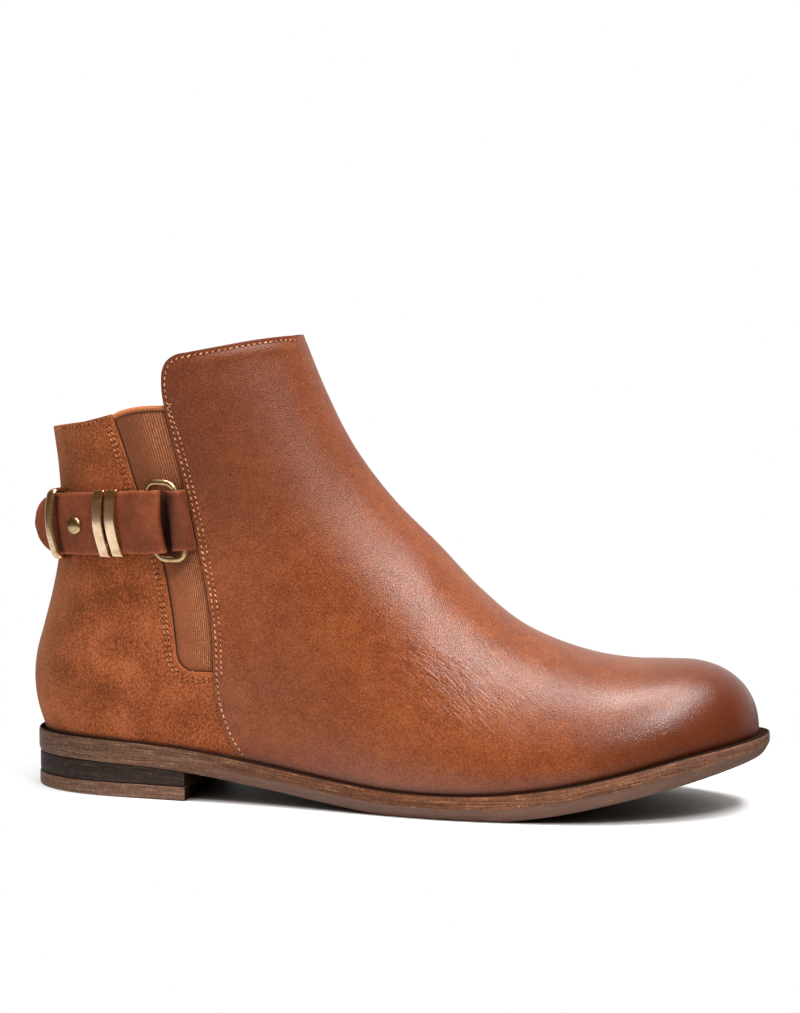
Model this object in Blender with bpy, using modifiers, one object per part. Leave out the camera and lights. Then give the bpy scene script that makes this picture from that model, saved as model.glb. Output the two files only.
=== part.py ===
import bpy
import bmesh
import numpy as np
from math import cos, pi, sin
from mathutils import Vector

# A right flat boot with a gore at each side and a buckled strap round the heel.
# Lengths are in millimetres and become metres when a mesh is made.
# x runs from heel to toe, y from the lateral to the medial side, z up from the floor.
MM = 0.001
GAP = 0.3
TRIM = 0.2
COLLECTION, ROOT = "flat_boot", "boot_frame"

HEEL_END, TOE_END = 2.4, 262.2
HEEL_ROUND, HEEL_POWER = 38.0, 2.0
TOE_ROUND, TOE_POWER = 66.0, 2.1

# Sections of the sole: half widths of its edge, heights of its top and bottom faces
SOLE = (
    ("x", "lateral", "medial", "top", "bottom"),
    (0, 28.0, 28.0, 20.6, 12.4),
    (32, 27.4, 27.0, 20.0, 12.0),
    (65, 30.0, 28.6, 18.1, 10.0),
    (90, 32.2, 27.4, 14.7, 6.4),
    (115, 36.2, 28.6, 11.2, 2.6),
    (138, 40.6, 33.8, 8.8, 0.0),
    (158, 43.2, 39.2, 8.4, 0.0),
    (176, 43.4, 42.0, 9.3, 0.0),
    (195, 42.2, 42.6, 11.9, 2.6),
    (215, 40.6, 41.4, 16.2, 7.0),
    (238, 38.6, 38.6, 22.2, 13.0),
    (264, 36.6, 36.6, 27.4, 20.8),
)

# Edge of the sole from its top face down: inset at the heel, inset at the front, share of the depth
SLAB_EDGE = ((0.7, 1.2, 0.0), (0.2, 0.3, 0.1), (0.0, 0.0, 0.4), (0.0, 0.6, 0.78), (0.5, 2.4, 1.0))
BLOCK_EDGE = ((0.7, 0.7, 0.0), (0.4, 0.4, 0.15), (0.4, 0.4, 0.85), (0.7, 0.7, 1.0))
LIFT_EDGE = ((0.6, 0.6, 0.0), (0.2, 0.2, 0.15), (0.2, 0.2, 0.85), (0.7, 0.7, 1.0))
INSOLE_EDGE = ((0.2, 0.2, 0.0), (0.0, 0.0, 1.0))
EDGE_CHANGE = (60.0, 110.0)
SOLE_STATIONS, HEEL_STATIONS, INSOLE_STATIONS = 30, 12, 22
BREAST_X, LIFT_TOP = 65.0, 5.0
INSOLE_HEEL, INSOLE_TOE, INSOLE_SIDE, INSOLE_THICKNESS = 8.4, 254.4, 5.6, 2.0

# Front line of the upper from toe to collar, and its back line from sole to collar with the heel's half width
RIDGE = (
    ("x", "z"),
    (258.6, 26.9),
    (258.2, 31.0),
    (256.6, 37.0),
    (252.6, 43.0),
    (246.5, 47.4),
    (238.0, 50.0),
    (227.0, 50.2),
    (215.0, 50.0),
    (203.0, 51.3),
    (190.0, 54.8),
    (176.0, 61.0),
    (161.6, 72.4),
    (146.4, 88.0),
    (130.8, 103.4),
    (116.8, 121.8),
    (106.0, 142.8),
    (98.8, 160.2),
)
BACK = (
    ("z", "x", "half_width"),
    (20.0, 4.6, 27.0),
    (29.0, 1.8, 28.8),
    (38.0, 1.0, 29.6),
    (47.0, 2.0, 30.0),
    (58.0, 5.0, 29.7),
    (70.0, 8.2, 29.0),
    (84.0, 10.8, 28.3),
    (100.0, 11.5, 28.0),
    (114.0, 10.7, 28.4),
    (128.0, 8.9, 28.8),
    (160.0, 6.0, 29.4),
)
SHAFT_LEAN = -0.42
BACK_ROUND, FRONT_ROUND = 34.0, 46.0
SEAT_RISE = 28.0
FEATHER_HEEL, FEATHER_TOE, FEATHER_MARGIN = 4.6, 258.6, 1.9

# Cross sections of the foot: how far the ridge lies to the medial side, and how square the arch is
ARCH = (
    ("x", "ridge_y", "rise_power", "root_power"),
    (0, 0.0, 2.0, 2.0),
    (70, 0.0, 2.0, 2.0),
    (110, 1.5, 1.9, 2.0),
    (150, 3.6, 1.75, 1.9),
    (190, 3.8, 1.9, 2.0),
    (230, 2.0, 2.2, 2.2),
    (264, 0.0, 2.2, 2.2),
)
SIDE_BULGE, SIDE_BULGE_AT = 0.035, 0.2
SHAFT_BLEND = (66.0, 128.0)

# Panel edges in side view: the suede counter ends at gore_back, the leather vamp at vamp_edge
EDGES = (
    ("z", "gore_back", "vamp_edge"),
    (14.0, 62.0, 85.4),
    (22.0, 61.6, 80.2),
    (32.0, 60.8, 76.6),
    (45.0, 59.4, 75.2),
    (56.0, 57.8, 74.6),
    (70.0, 55.8, 72.6),
    (88.0, 52.4, 69.4),
    (101.0, 49.2, 66.8),
    (114.0, 45.4, 63.8),
    (124.0, 41.6, 61.2),
    (134.0, 38.2, 58.8),
    (141.0, 36.0, 57.4),
    (150.0, 33.0, 57.4),
)
EDGE_FOOT = {"gore_back": 62.0, "vamp_edge": 84.6}
COLLAR = {"back": 128.0, "gore_back": 133.6, "vamp_edge": 136.4}
GORE_BOTTOM, GORE_CORNER = 45.0, 2.4
VAMP_TOP = (
    ("x", "z"),
    (57.4, 147.6),
    (59.4, 151.8),
    (64.0, 154.4),
    (76.0, 156.4),
    (88.0, 159.2),
    (94.0, 160.6),
    (98.8, 160.2),
)

# Rows of the upper's grid: share of the height at the rear edges, counted in zones, and of the front line
GRID = (
    ("zone", "ridge"),
    (0.00, 0.000),
    (0.25, 0.030),
    (0.50, 0.065),
    (0.75, 0.105),
    (1.00, 0.150),
    (1.11, 0.205),
    (1.22, 0.270),
    (1.33, 0.340),
    (1.44, 0.410),
    (1.55, 0.480),
    (1.66, 0.550),
    (1.77, 0.625),
    (1.88, 0.700),
    (2.00, 0.780),
    (2.50, 0.890),
    (3.00, 1.000),
)
GORE_ROW, COLLAR_ROW, TOP_ROW = 4, 13, 15
COUNTER_COLUMNS, GORE_COLUMNS, VAMP_COLUMNS = 7, 4, 16

# Faces of the wall's layers, below the outer face of the vamp
LINING_LEVEL, PANEL_LEVEL = -1.8, -1.5
LINING_WALL, VAMP_WALL, COUNTER_WALL, GORE_WALL = 1.2, 1.5, 1.2, 0.8

# Strap round the heel, doubled back through a ring at the lateral side and held by bands, stud and loop
STRAP_Z, STRAP_RISE, STRAP_LEAN, STRAP_BOW, STRAP_THICK = 95.2, 0.06, 0.1, 0.011, 1.3
STRAP_HALF, STRAP_END_HALF, STRAP_ROWS = 10.7, 10.2, (-1.0, -0.5, 0.0, 0.5, 1.0)
STRAP_INNER, STRAP_OUTER = 1.4, 3.0
STRAP_MEDIAL_END, STRAP_PEEL_X, STRAP_END, STRAP_TIP = 66.0, 31.0, 23.4, 9.0
STRAP_FOLD_X, STRAP_DOUBLED_X = 55.6, (43.6, 52.6)
TIP_SHARES, STRAP_BLUNT = (0.25, 0.5, 0.62, 0.72, 0.8, 0.87, 0.93, 0.97, 1.0), 0.12
RING_X, RING_OFFSET, RING_WIRE, RING_LEAN = 58.8, 3.45, 1.1, 0.11
RING_HALF_LONG, RING_HALF_TALL, RING_SQUARENESS, RING_STEPS = 5.6, 12.8, 4.0, 32
TAB_THICK, TAB_HALF, TAB_FOLD_X, TAB_SHOULDER_X, TAB_END_X = 1.0, 10.2, 62.4, 65.2, 67.2
TAB_INNER, TAB_OUTER, TAB_DROP, TAB_LEAN = 0.1, 2.2, 1.4, 0.2
BAND_X, BAND_WIDTH, BAND_WALL, BAND_SEAT, BAND_CORNER = (36.0, 40.3), 3.8, 0.6, 0.6, 0.5
STUD_ALONG, STUD_DROP, STUD_RADIUS, STUD_HEIGHT, STUD_RIM = 4.6, 0.6, 2.5, 2.3, 0.5
STUD_STEPS = 16
LOOP_ALONG, LOOP_WIRE, LOOP_CORNER, LOOP_SEAT = 16.4, 0.9, 2.0, 1.4

# Base colour, roughness and metallic value of each material
MATERIALS = {
    "cognac_leather": ((0.33, 0.115, 0.045), 0.42, 0.0),
    "tan_suede": ((0.36, 0.135, 0.045), 0.95, 0.0),
    "brown_elastic": ((0.25, 0.095, 0.045), 0.85, 0.0),
    "tan_lining": ((0.42, 0.27, 0.16), 0.8, 0.0),
    "strap_leather": ((0.2, 0.062, 0.033), 0.45, 0.0),
    "stacked_brown": ((0.1, 0.055, 0.034), 0.6, 0.0),
    "stacked_dark": ((0.03, 0.022, 0.02), 0.6, 0.0),
    "antique_brass": ((0.62, 0.42, 0.2), 0.35, 1.0),
}


def clear_scene():
    for obj in list(bpy.data.objects):
        bpy.data.objects.remove(obj)


def spline(table, x, column):
    # Smooth curve through one named column of a table, against its first column
    rows = np.array(table[1:], float)
    knots, values = rows[:, 0], rows[:, table[0].index(column)]
    slopes = np.gradient(values, knots)
    x = np.clip(x, knots[0], knots[-1])
    i = np.clip(np.searchsorted(knots, x, side="right") - 1, 0, len(knots) - 2)
    span = knots[i + 1] - knots[i]
    t = (x - knots[i]) / span
    ends = values[i] * (1 + 2 * t) * (1 - t) ** 2 + values[i + 1] * t * t * (3 - 2 * t)
    return ends + span * t * (1 - t) * (slopes[i] * (1 - t) - slopes[i + 1] * t)


def curve_points(table, count):
    # Evenly spaced points on the smooth curve through a table of x and z
    points = np.array(table[1:], float)
    steps = np.hypot(*np.diff(points, axis=0).T)
    along = np.concatenate(([0.0], np.cumsum(steps)))
    keyed = (("along", "x", "z"), *((s, *p) for s, p in zip(along, points)))
    places = np.linspace(0, along[-1], count)
    return np.column_stack((spline(keyed, places, "x"), spline(keyed, places, "z")))


RIDGE_LINE = curve_points(RIDGE, 401)
VAMP_TOP_LINE = curve_points(VAMP_TOP, 201)


def at_share(points, share):
    index = np.linspace(0, 1, len(points))
    return np.array([np.interp(share, index, points[:, 0]), np.interp(share, index, points[:, 1])])


def rounded(share, power):
    return (1 - (1 - np.clip(share, 0.0, 1.0)) ** power) ** (1 / power)


def smooth_step(low, high, value):
    t = np.clip((value - low) / (high - low), 0.0, 1.0)
    return t * t * (3 - 2 * t)


def sole_top(x):
    return spline(SOLE, x, "top")


def sole_bottom(x):
    return np.maximum(spline(SOLE, x, "bottom"), 0.0)


def outline_half(x, side, inset, heel, toe):
    body = spline(SOLE, x, side) - inset
    return body * rounded((x - heel) / HEEL_ROUND, HEEL_POWER) * rounded((toe - x) / TOE_ROUND, TOE_POWER)


def feather_half(x, side):
    return outline_half(x, side, FEATHER_MARGIN, FEATHER_HEEL, FEATHER_TOE)


def ridge_height(x):
    # Above the collar the front line goes on straight, so that the sections there keep their curve
    top_x, top_z = RIDGE_LINE[-1]
    above = top_z + np.maximum(top_x - x, 0.0) / -SHAFT_LEAN
    return np.where(x < top_x, above, np.interp(x, RIDGE_LINE[::-1, 0], RIDGE_LINE[::-1, 1]))


def shaft_front(z):
    shaft = RIDGE_LINE[RIDGE_LINE[:, 0] < 200]
    return np.interp(z, shaft[:, 1], shaft[:, 0])


def back_line(z):
    return spline(BACK, z, "x")


def foot_half(x, z, side):
    centre = spline(ARCH, x, "ridge_y")
    low = sole_top(x) + GAP
    share = np.clip((z - low) / np.maximum(ridge_height(x) - low, 0.01), 0, 1)
    base = feather_half(x, side) + (centre if side == "lateral" else -centre)
    arch = (1 - share ** spline(ARCH, x, "rise_power")) ** (1 / spline(ARCH, x, "root_power"))
    bulge = SIDE_BULGE * share / SIDE_BULGE_AT * np.exp(1 - share / SIDE_BULGE_AT)
    return base * arch * (1 + bulge)


def shaft_half(x, z, side):
    behind = x - back_line(z)
    seat = feather_half(behind + FEATHER_HEEL, side)
    wall = spline(BACK, z, "half_width") * rounded(behind / BACK_ROUND, 2.0)
    rise = smooth_step(0.0, SEAT_RISE, z - sole_top(x))
    return (seat * (1 - rise) + wall * rise) * rounded((shaft_front(z) - x) / FRONT_ROUND, 2.0)


def upper_y(x, z, side):
    # Outer face of the upper: a shaft with round ends behind, arched sections in front
    blend = smooth_step(*SHAFT_BLEND, x)
    half = shaft_half(x, z, side) * (1 - blend) + foot_half(x, z, side) * blend
    centre = spline(ARCH, x, "ridge_y")
    return centre - half if side == "lateral" else centre + half


def grid_height(row, low, collar, top):
    return np.interp(GRID[row + 1][0], range(4), (low, GORE_BOTTOM, collar, top))


def edge_point(row, edge):
    z = grid_height(row, sole_top(EDGE_FOOT[edge]) + GAP, COLLAR[edge], VAMP_TOP[1][1])
    return np.array([spline(EDGES, z, edge), z])


def back_point(row):
    z = grid_height(row, sole_top(FEATHER_HEEL) + GAP, COLLAR["back"], COLLAR["back"])
    return np.array([back_line(z), z])


def rear_grid():
    # Side view of the counter's and the gore's columns, from the back line forward
    rows = range(COLLAR_ROW + 1)
    columns = []
    for c in range(COUNTER_COLUMNS):
        u = 1 - cos(pi / 2 * c / COUNTER_COLUMNS)
        columns.append([(1 - u) * back_point(r) + u * edge_point(r, "gore_back") for r in rows])
    for c in range(GORE_COLUMNS):
        u = c / GORE_COLUMNS
        columns.append([(1 - u) * edge_point(r, "gore_back") + u * edge_point(r, "vamp_edge") for r in rows])
    for column in columns:
        drop = sole_top(column[0][0]) + GAP - column[0][1]
        for r in range(GORE_ROW):
            column[r] = column[r] + np.array([0.0, drop * (1 - GRID[r + 1][0])])
    corner = columns[COUNTER_COLUMNS]
    corner[GORE_ROW] = corner[GORE_ROW] + GORE_CORNER
    return columns


def vamp_grid():
    # Side view of the vamp's columns: a patch between its rear edge, the sole, the front line and the collar
    rows = range(TOP_ROW + 1)
    edge = [edge_point(r, "vamp_edge") for r in rows]
    ridge = [at_share(RIDGE_LINE, GRID[r + 1][1]) for r in rows]
    columns = []
    for c in range(VAMP_COLUMNS + 1):
        u = sin(pi / 2 * c / VAMP_COLUMNS)
        foot_x = edge[0][0] + (ridge[0][0] - edge[0][0]) * u
        foot = np.array([foot_x, sole_top(foot_x) + GAP])
        if c == VAMP_COLUMNS:
            foot = ridge[0]
        top = at_share(VAMP_TOP_LINE, u)
        column = []
        for r in rows:
            v = (GRID[r + 1][0] / GRID[-1][0] + GRID[r + 1][1]) / 2
            edge_off = edge[r] - ((1 - v) * edge[0] + v * edge[-1])
            ridge_off = ridge[r] - ((1 - v) * ridge[0] + v * ridge[-1])
            column.append((1 - v) * foot + v * top + (1 - u) * edge_off + u * ridge_off)
        columns.append(column)
    return columns


def side_points(columns, side):
    lifted = []
    for column in columns:
        x, z = np.array(column).T
        lifted.append(np.column_stack((x, upper_y(x, z, side), z)))
    return lifted


def upper_columns():
    # The ring of columns starts at the back, runs forward on the lateral side and back on the medial side
    flat = rear_grid() + vamp_grid()
    lateral, medial = side_points(flat, "lateral"), side_points(flat, "medial")
    lateral[0][:, 1] = 0.0
    lateral[-1][:, 1] = spline(ARCH, lateral[-1][:, 0], "ridge_y")
    return lateral + medial[-2:0:-1]


SIDE = COUNTER_COLUMNS + GORE_COLUMNS + VAMP_COLUMNS
AROUND = 2 * SIDE
GORE_FIRST, VAMP_FIRST = COUNTER_COLUMNS, COUNTER_COLUMNS + GORE_COLUMNS


def cells_between(first, last, low, high):
    lateral = [(c, r) for c in range(first, last) for r in range(low, high)]
    return lateral + [(AROUND - 1 - c, r) for c, r in lateral]


COUNTER_CELLS = cells_between(0, GORE_FIRST, 0, COLLAR_ROW) + cells_between(GORE_FIRST, VAMP_FIRST, 0, GORE_ROW)
GORE_CELLS = cells_between(GORE_FIRST, VAMP_FIRST, GORE_ROW, COLLAR_ROW)
VAMP_CELLS = cells_between(VAMP_FIRST, SIDE, 0, TOP_ROW)
ALL_CELLS = COUNTER_CELLS + GORE_CELLS + VAMP_CELLS


def cell_mesh(cells, points):
    mesh = bmesh.new()
    made = {}
    for c, r in cells:
        corners = []
        for column, row in ((c, r), (c + 1, r), (c + 1, r + 1), (c, r + 1)):
            key = (column % AROUND, row)
            if key not in made:
                made[key] = mesh.verts.new(points[key])
            corners.append(made[key])
        mesh.faces.new(corners)
    mesh.normal_update()
    return mesh, made


def upper_surface():
    # Points of the upper's outer face and the directions out of it, level along the sole
    points = {(c, r): Vector(p) for c, column in enumerate(upper_columns()) for r, p in enumerate(column)}
    mesh, made = cell_mesh(ALL_CELLS, points)
    normals = {}
    for key, vertex in made.items():
        normal = vertex.normal.copy()
        if key[1] == 0:
            normal.z = 0.0
        normals[key] = normal.normalized()
    mesh.free()
    return points, normals


def finish_object(name, data, material):
    obj = bpy.data.objects.new(name, data)
    bpy.data.collections[COLLECTION].objects.link(obj)
    obj.parent = bpy.data.objects[ROOT]
    data.materials.append(bpy.data.materials[material])
    return obj


def mesh_object(name, mesh, material, smooth_angle=0.7):
    bmesh.ops.scale(mesh, vec=(MM, MM, MM), verts=mesh.verts)
    data = bpy.data.meshes.new(name)
    mesh.to_mesh(data)
    mesh.free()
    data.shade_smooth()
    data.set_sharp_from_angle(angle=smooth_angle)
    return finish_object(name, data, material)


def draw_in(mesh, distance):
    # Moves the rim of an open panel inwards, to part it from its neighbours
    shifts = {}
    for vertex in mesh.verts:
        if vertex.is_boundary:
            centres = [face.calc_center_median() for face in vertex.link_faces]
            inward = sum(centres, Vector()) / len(centres) - vertex.co
            shifts[vertex] = inward.normalized() * distance
    for vertex, shift in shifts.items():
        vertex.co += shift


def wall_object(name, surface, cells, level, wall, offset, material):
    points, normals = surface
    moved = {key: points[key] + normals[key] * level for key in normals}
    mesh, made = cell_mesh(cells, moved)
    if cells is not ALL_CELLS:
        draw_in(mesh, TRIM)
    obj = mesh_object(name, mesh, material)
    solidify = obj.modifiers.new("wall", "SOLIDIFY")
    solidify.thickness = wall * MM
    solidify.offset = offset
    solidify.use_quality_normals = True


def make_upper():
    surface = upper_surface()
    wall_object("upper", surface, ALL_CELLS, LINING_LEVEL, LINING_WALL, -1.0, "tan_lining")
    wall_object("vamp", surface, VAMP_CELLS, PANEL_LEVEL, VAMP_WALL, 1.0, "cognac_leather")
    wall_object("heel_counter", surface, COUNTER_CELLS, PANEL_LEVEL, COUNTER_WALL, 1.0, "tan_suede")
    for name, lateral in (("gore_lateral", True), ("gore_medial", False)):
        cells = [cell for cell in GORE_CELLS if (cell[0] < SIDE) == lateral]
        wall_object(name, surface, cells, PANEL_LEVEL, GORE_WALL, 1.0, "brown_elastic")


def plate(name, material, edge, ends, stations, square_front, half, top, bottom):
    # A plate between two heights: each level of its edge is the outline drawn in by that level's insets
    mesh = bmesh.new()
    turn = pi / 2 if square_front else pi
    spacing = [(1 - cos(turn * k / stations)) / (1 - cos(turn)) for k in range(stations + 1)]
    loops = []
    for heel_inset, front_inset, depth in edge:
        heel, front = ends[0] + heel_inset, ends[1] - front_inset
        x = heel + (front - heel) * np.array(spacing)
        inset = heel_inset + (front_inset - heel_inset) * smooth_step(*EDGE_CHANGE, x)
        z = top(x) + (bottom(x) - top(x)) * depth
        lateral = np.column_stack((x, -half(x, "lateral", inset, heel, front), z))
        medial = np.column_stack((x, half(x, "medial", inset, heel, front), z))
        last = stations if square_front else stations - 1
        loops.append([mesh.verts.new(p) for p in (*lateral, *medial[last:0:-1])])
    count = len(loops[0])
    for above, below in zip(loops, loops[1:]):
        for k in range(count):
            after = (k + 1) % count
            mesh.faces.new((above[k], below[k], below[after], above[after]))
    for loop in (loops[0], loops[-1]):
        for k in range(stations):
            corners = [loop[k], loop[k + 1], loop[count - k - 1], loop[(count - k) % count]]
            mesh.faces.new(list(dict.fromkeys(corners)))
    bmesh.ops.recalc_face_normals(mesh, faces=mesh.faces)
    mesh_object(name, mesh, material)


def heel_half(x, side, inset, heel, front):
    return (spline(SOLE, x, side) - inset) * rounded((x - heel) / HEEL_ROUND, HEEL_POWER)


def insole_half(x, side, inset, heel, front):
    return outline_half(x, side, INSOLE_SIDE + inset, heel, front)


def make_sole():
    plate("outsole", "stacked_brown", SLAB_EDGE, (HEEL_END, TOE_END), SOLE_STATIONS, False, outline_half,
          sole_top, sole_bottom)
    plate("heel_block", "stacked_dark", BLOCK_EDGE, (HEEL_END, BREAST_X), HEEL_STATIONS, True, heel_half,
          lambda x: sole_bottom(x) - GAP, lambda x: LIFT_TOP + GAP + 0 * x)
    plate("heel_lift", "stacked_brown", LIFT_EDGE, (HEEL_END, BREAST_X), HEEL_STATIONS, True, heel_half,
          lambda x: LIFT_TOP + 0 * x, lambda x: 0 * x)
    plate("insole", "tan_lining", INSOLE_EDGE, (INSOLE_HEEL, INSOLE_TOE), INSOLE_STATIONS, False, insole_half,
          lambda x: sole_top(x) + GAP + INSOLE_THICKNESS, lambda x: sole_top(x) + GAP)


def heel_line(x, side, offset):
    # Plan of the boot at the strap's height, moved out by an offset, with the directions out of it
    x = np.asarray(x, float)
    step = 0.05
    behind = np.maximum(x - step, back_line(STRAP_Z))
    rise = upper_y(x + step, STRAP_Z, side) - upper_y(behind, STRAP_Z, side)
    sign = -1.0 if side == "lateral" else 1.0
    out = np.column_stack((-rise, x + step - behind)) * sign
    out /= np.linalg.norm(out, axis=1)[:, None]
    points = np.column_stack((x, upper_y(x, STRAP_Z, side)))
    return points + out * np.reshape(offset, (-1, 1)), out


def beside_heel(x, offset):
    # One place on the lateral side, the direction out of it and the direction back to the heel
    points, out = heel_line([x], "lateral", offset)
    return points[0], out[0], np.array([out[0][1], -out[0][0]])


def slide(up, lean, bow):
    # How far a strip's edges run to the heel, above and below its middle
    return lean * up - bow * up * up


def leaned(place, backward, z, up):
    return (*(place + backward * slide(up, STRAP_LEAN, STRAP_BOW)), z + up)


def strap_height(x):
    return STRAP_Z + STRAP_RISE * (x - RING_X / 2)


def ribbon(name, path, halves, backs, leans, bow, thick):
    # A strip of leather standing on edge along a path in plan
    path = np.array(path)
    tangent = np.gradient(path, axis=0)
    tangent /= np.linalg.norm(tangent, axis=1)[:, None]
    out = np.column_stack((-tangent[:, 1], tangent[:, 0])) * thick / 2
    rim = [(-1, row) for row in STRAP_ROWS] + [(1, row) for row in STRAP_ROWS[::-1]]
    mesh = bmesh.new()
    sections = []
    for place, offset, half, back, lean in zip(path, out, halves, backs, leans):
        section = []
        for across, row in rim:
            x, y = place + offset * across + back * slide(half * row, lean, bow)
            section.append(mesh.verts.new((x, y, strap_height(place[0]) + half * row)))
        sections.append(section)
    for first, second in zip(sections, sections[1:]):
        for k in range(len(rim)):
            after = (k + 1) % len(rim)
            mesh.faces.new((first[k], first[after], second[after], second[k]))
    mesh.faces.new(sections[0])
    mesh.faces.new(sections[-1])
    bmesh.ops.recalc_face_normals(mesh, faces=mesh.faces)
    mesh_object(name, mesh, "strap_leather")


def fold(x, radius, forward):
    # Half a turn in plan round the ring's bar, as places along the heel and offsets from it
    angles = np.linspace(-pi / 2, pi / 2, 9)
    return [(x + radius * cos(a) * forward, RING_OFFSET + radius * sin(a)) for a in angles]


def make_strap():
    back = back_line(STRAP_Z)
    turn = 1 - np.cos(np.linspace(0, pi / 2, 12))
    medial = heel_line(back + (STRAP_MEDIAL_END - back) * turn[:0:-1], "medial", STRAP_INNER)[0]
    path = [*medial, np.array([back - STRAP_INNER, 0.0])]
    backs = [np.zeros(2)] * len(path)
    bend = fold(STRAP_FOLD_X, RING_OFFSET - STRAP_INNER, 1)[1:]
    lift = bend[-1][1] - STRAP_OUTER
    pairs = [(back + (STRAP_FOLD_X - back) * t, STRAP_INNER) for t in turn[1:]] + bend
    for x in np.linspace(STRAP_FOLD_X - 3, STRAP_PEEL_X, 10):
        pairs.append((x, STRAP_OUTER + lift * smooth_step(*STRAP_DOUBLED_X, x)))
    for x, offset in pairs:
        place, out, backward = beside_heel(x, offset)
        path.append(place)
        backs.append(backward * abs(backward[0]))
    halves = [STRAP_HALF] * len(path)
    start = path[-1]
    for share in TIP_SHARES:
        taper = STRAP_HALF + (STRAP_END_HALF - STRAP_HALF) * share
        round_off = max((share - 1) * STRAP_END / STRAP_TIP + 1, 0.0)
        path.append(start + backward * STRAP_END * share)
        halves.append(taper * max((1 - round_off ** 2) ** 0.5, STRAP_BLUNT))
        backs.append(backs[-1])
    ribbon("strap", path, halves, backs, [STRAP_LEAN] * len(path), STRAP_BOW, STRAP_THICK)


def make_tab():
    bend = fold(TAB_FOLD_X, RING_WIRE + GAP + TAB_THICK / 2, -1)
    pairs = [(TAB_END_X, TAB_INNER), ((TAB_FOLD_X + TAB_END_X) / 2, (TAB_INNER + bend[0][1]) / 2), *bend]
    pairs += [(TAB_SHOULDER_X, bend[-1][1]), (TAB_END_X - 0.4, TAB_OUTER + TAB_DROP), (TAB_END_X, TAB_OUTER)]
    places = [beside_heel(*pair) for pair in pairs]
    spread = [smooth_step(TAB_SHOULDER_X, TAB_END_X, x) for x, offset in pairs]
    leans = [STRAP_LEAN + (TAB_LEAN - STRAP_LEAN) * share for share in spread]
    path, backs = [place[0] for place in places], [place[2] for place in places]
    ribbon("strap_tab", path, [TAB_HALF] * len(path), backs, leans, 0.0, TAB_THICK)


def wire(name, points, radius, closed):
    data = bpy.data.curves.new(name, "CURVE")
    data.dimensions = "3D"
    data.bevel_depth = radius * MM
    data.bevel_resolution = 2
    data.use_fill_caps = True
    line = data.splines.new("POLY")
    line.points.add(len(points) - 1)
    for target, point in zip(line.points, points):
        target.co = (*(np.array(point) * MM), 1.0)
    line.use_cyclic_u = closed
    finish_object(name, data, "antique_brass")


def make_ring():
    place, out, backward = beside_heel(RING_X, RING_OFFSET)
    points = []
    for k in range(RING_STEPS):
        c, s = cos(2 * pi * k / RING_STEPS), sin(2 * pi * k / RING_STEPS)
        size = (abs(c) ** RING_SQUARENESS + abs(s) ** RING_SQUARENESS) ** (-1 / RING_SQUARENESS)
        along = place + backward * RING_HALF_LONG * size * c
        up = RING_HALF_TALL * size * s
        points.append((*(along + backward * RING_LEAN * up), strap_height(RING_X) + up))
    wire("ring", points, RING_WIRE, True)


def make_bands():
    face = STRAP_OUTER + STRAP_THICK / 2 + GAP
    front = face + BAND_WALL
    inner = STRAP_HALF + GAP
    outer = inner + BAND_WALL
    upper_half = ((BAND_SEAT, inner), (BAND_SEAT, outer), (front - BAND_CORNER, outer), (front, outer - BAND_CORNER))
    lower_half = [(reach, -up) for reach, up in upper_half[::-1]]
    profile = (*upper_half, (front, 0.0), *lower_half, (face, -inner), (face, 0.0), (face, inner))
    for name, x in zip(("strap_band_rear", "strap_band_front"), BAND_X):
        place, out, backward = beside_heel(x, 0.0)
        start = place + backward * BAND_WIDTH / 2
        mesh = bmesh.new()
        rim = [mesh.verts.new(leaned(start + out * r, backward, strap_height(x), up)) for r, up in profile]
        swept = bmesh.ops.extrude_face_region(mesh, geom=[mesh.faces.new(rim)])
        moved = [item for item in swept["geom"] if isinstance(item, bmesh.types.BMVert)]
        bmesh.ops.translate(mesh, vec=(*(-backward * BAND_WIDTH), 0.0), verts=moved)
        bmesh.ops.recalc_face_normals(mesh, faces=mesh.faces)
        mesh_object(name, mesh, "antique_brass", 0.5)


def make_stud():
    start, out, backward = beside_heel(STRAP_PEEL_X, STRAP_OUTER + STRAP_THICK / 2 + GAP)
    place = start + backward * STUD_ALONG
    dome = STUD_HEIGHT - STUD_RIM
    angles = np.linspace(pi / 2, 0, 7)
    profile = [(STUD_RADIUS * cos(a) if a < pi / 2 else 0.0, STUD_RIM + dome * sin(a)) for a in angles]
    profile += [(STUD_RADIUS * 0.8, 0.0), (0.0, 0.0)]
    mesh = bmesh.new()
    line = [mesh.verts.new((r * MM, 0.0, h * MM)) for r, h in profile]
    for first, second in zip(line, line[1:]):
        mesh.edges.new((first, second))
    data = bpy.data.meshes.new("stud")
    mesh.to_mesh(data)
    mesh.free()
    obj = finish_object("stud", data, "antique_brass")
    screw = obj.modifiers.new("turn", "SCREW")
    screw.steps = STUD_STEPS
    screw.render_steps = STUD_STEPS
    screw.use_merge_vertices = True
    screw.merge_threshold = 0.00001
    screw.use_smooth_shade = True
    obj.location = Vector((*place, strap_height(place[0]) - STUD_DROP)) * MM
    obj.rotation_mode = "QUATERNION"
    obj.rotation_quaternion = Vector((*out, 0.0)).to_track_quat("Z", "Y")


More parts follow.
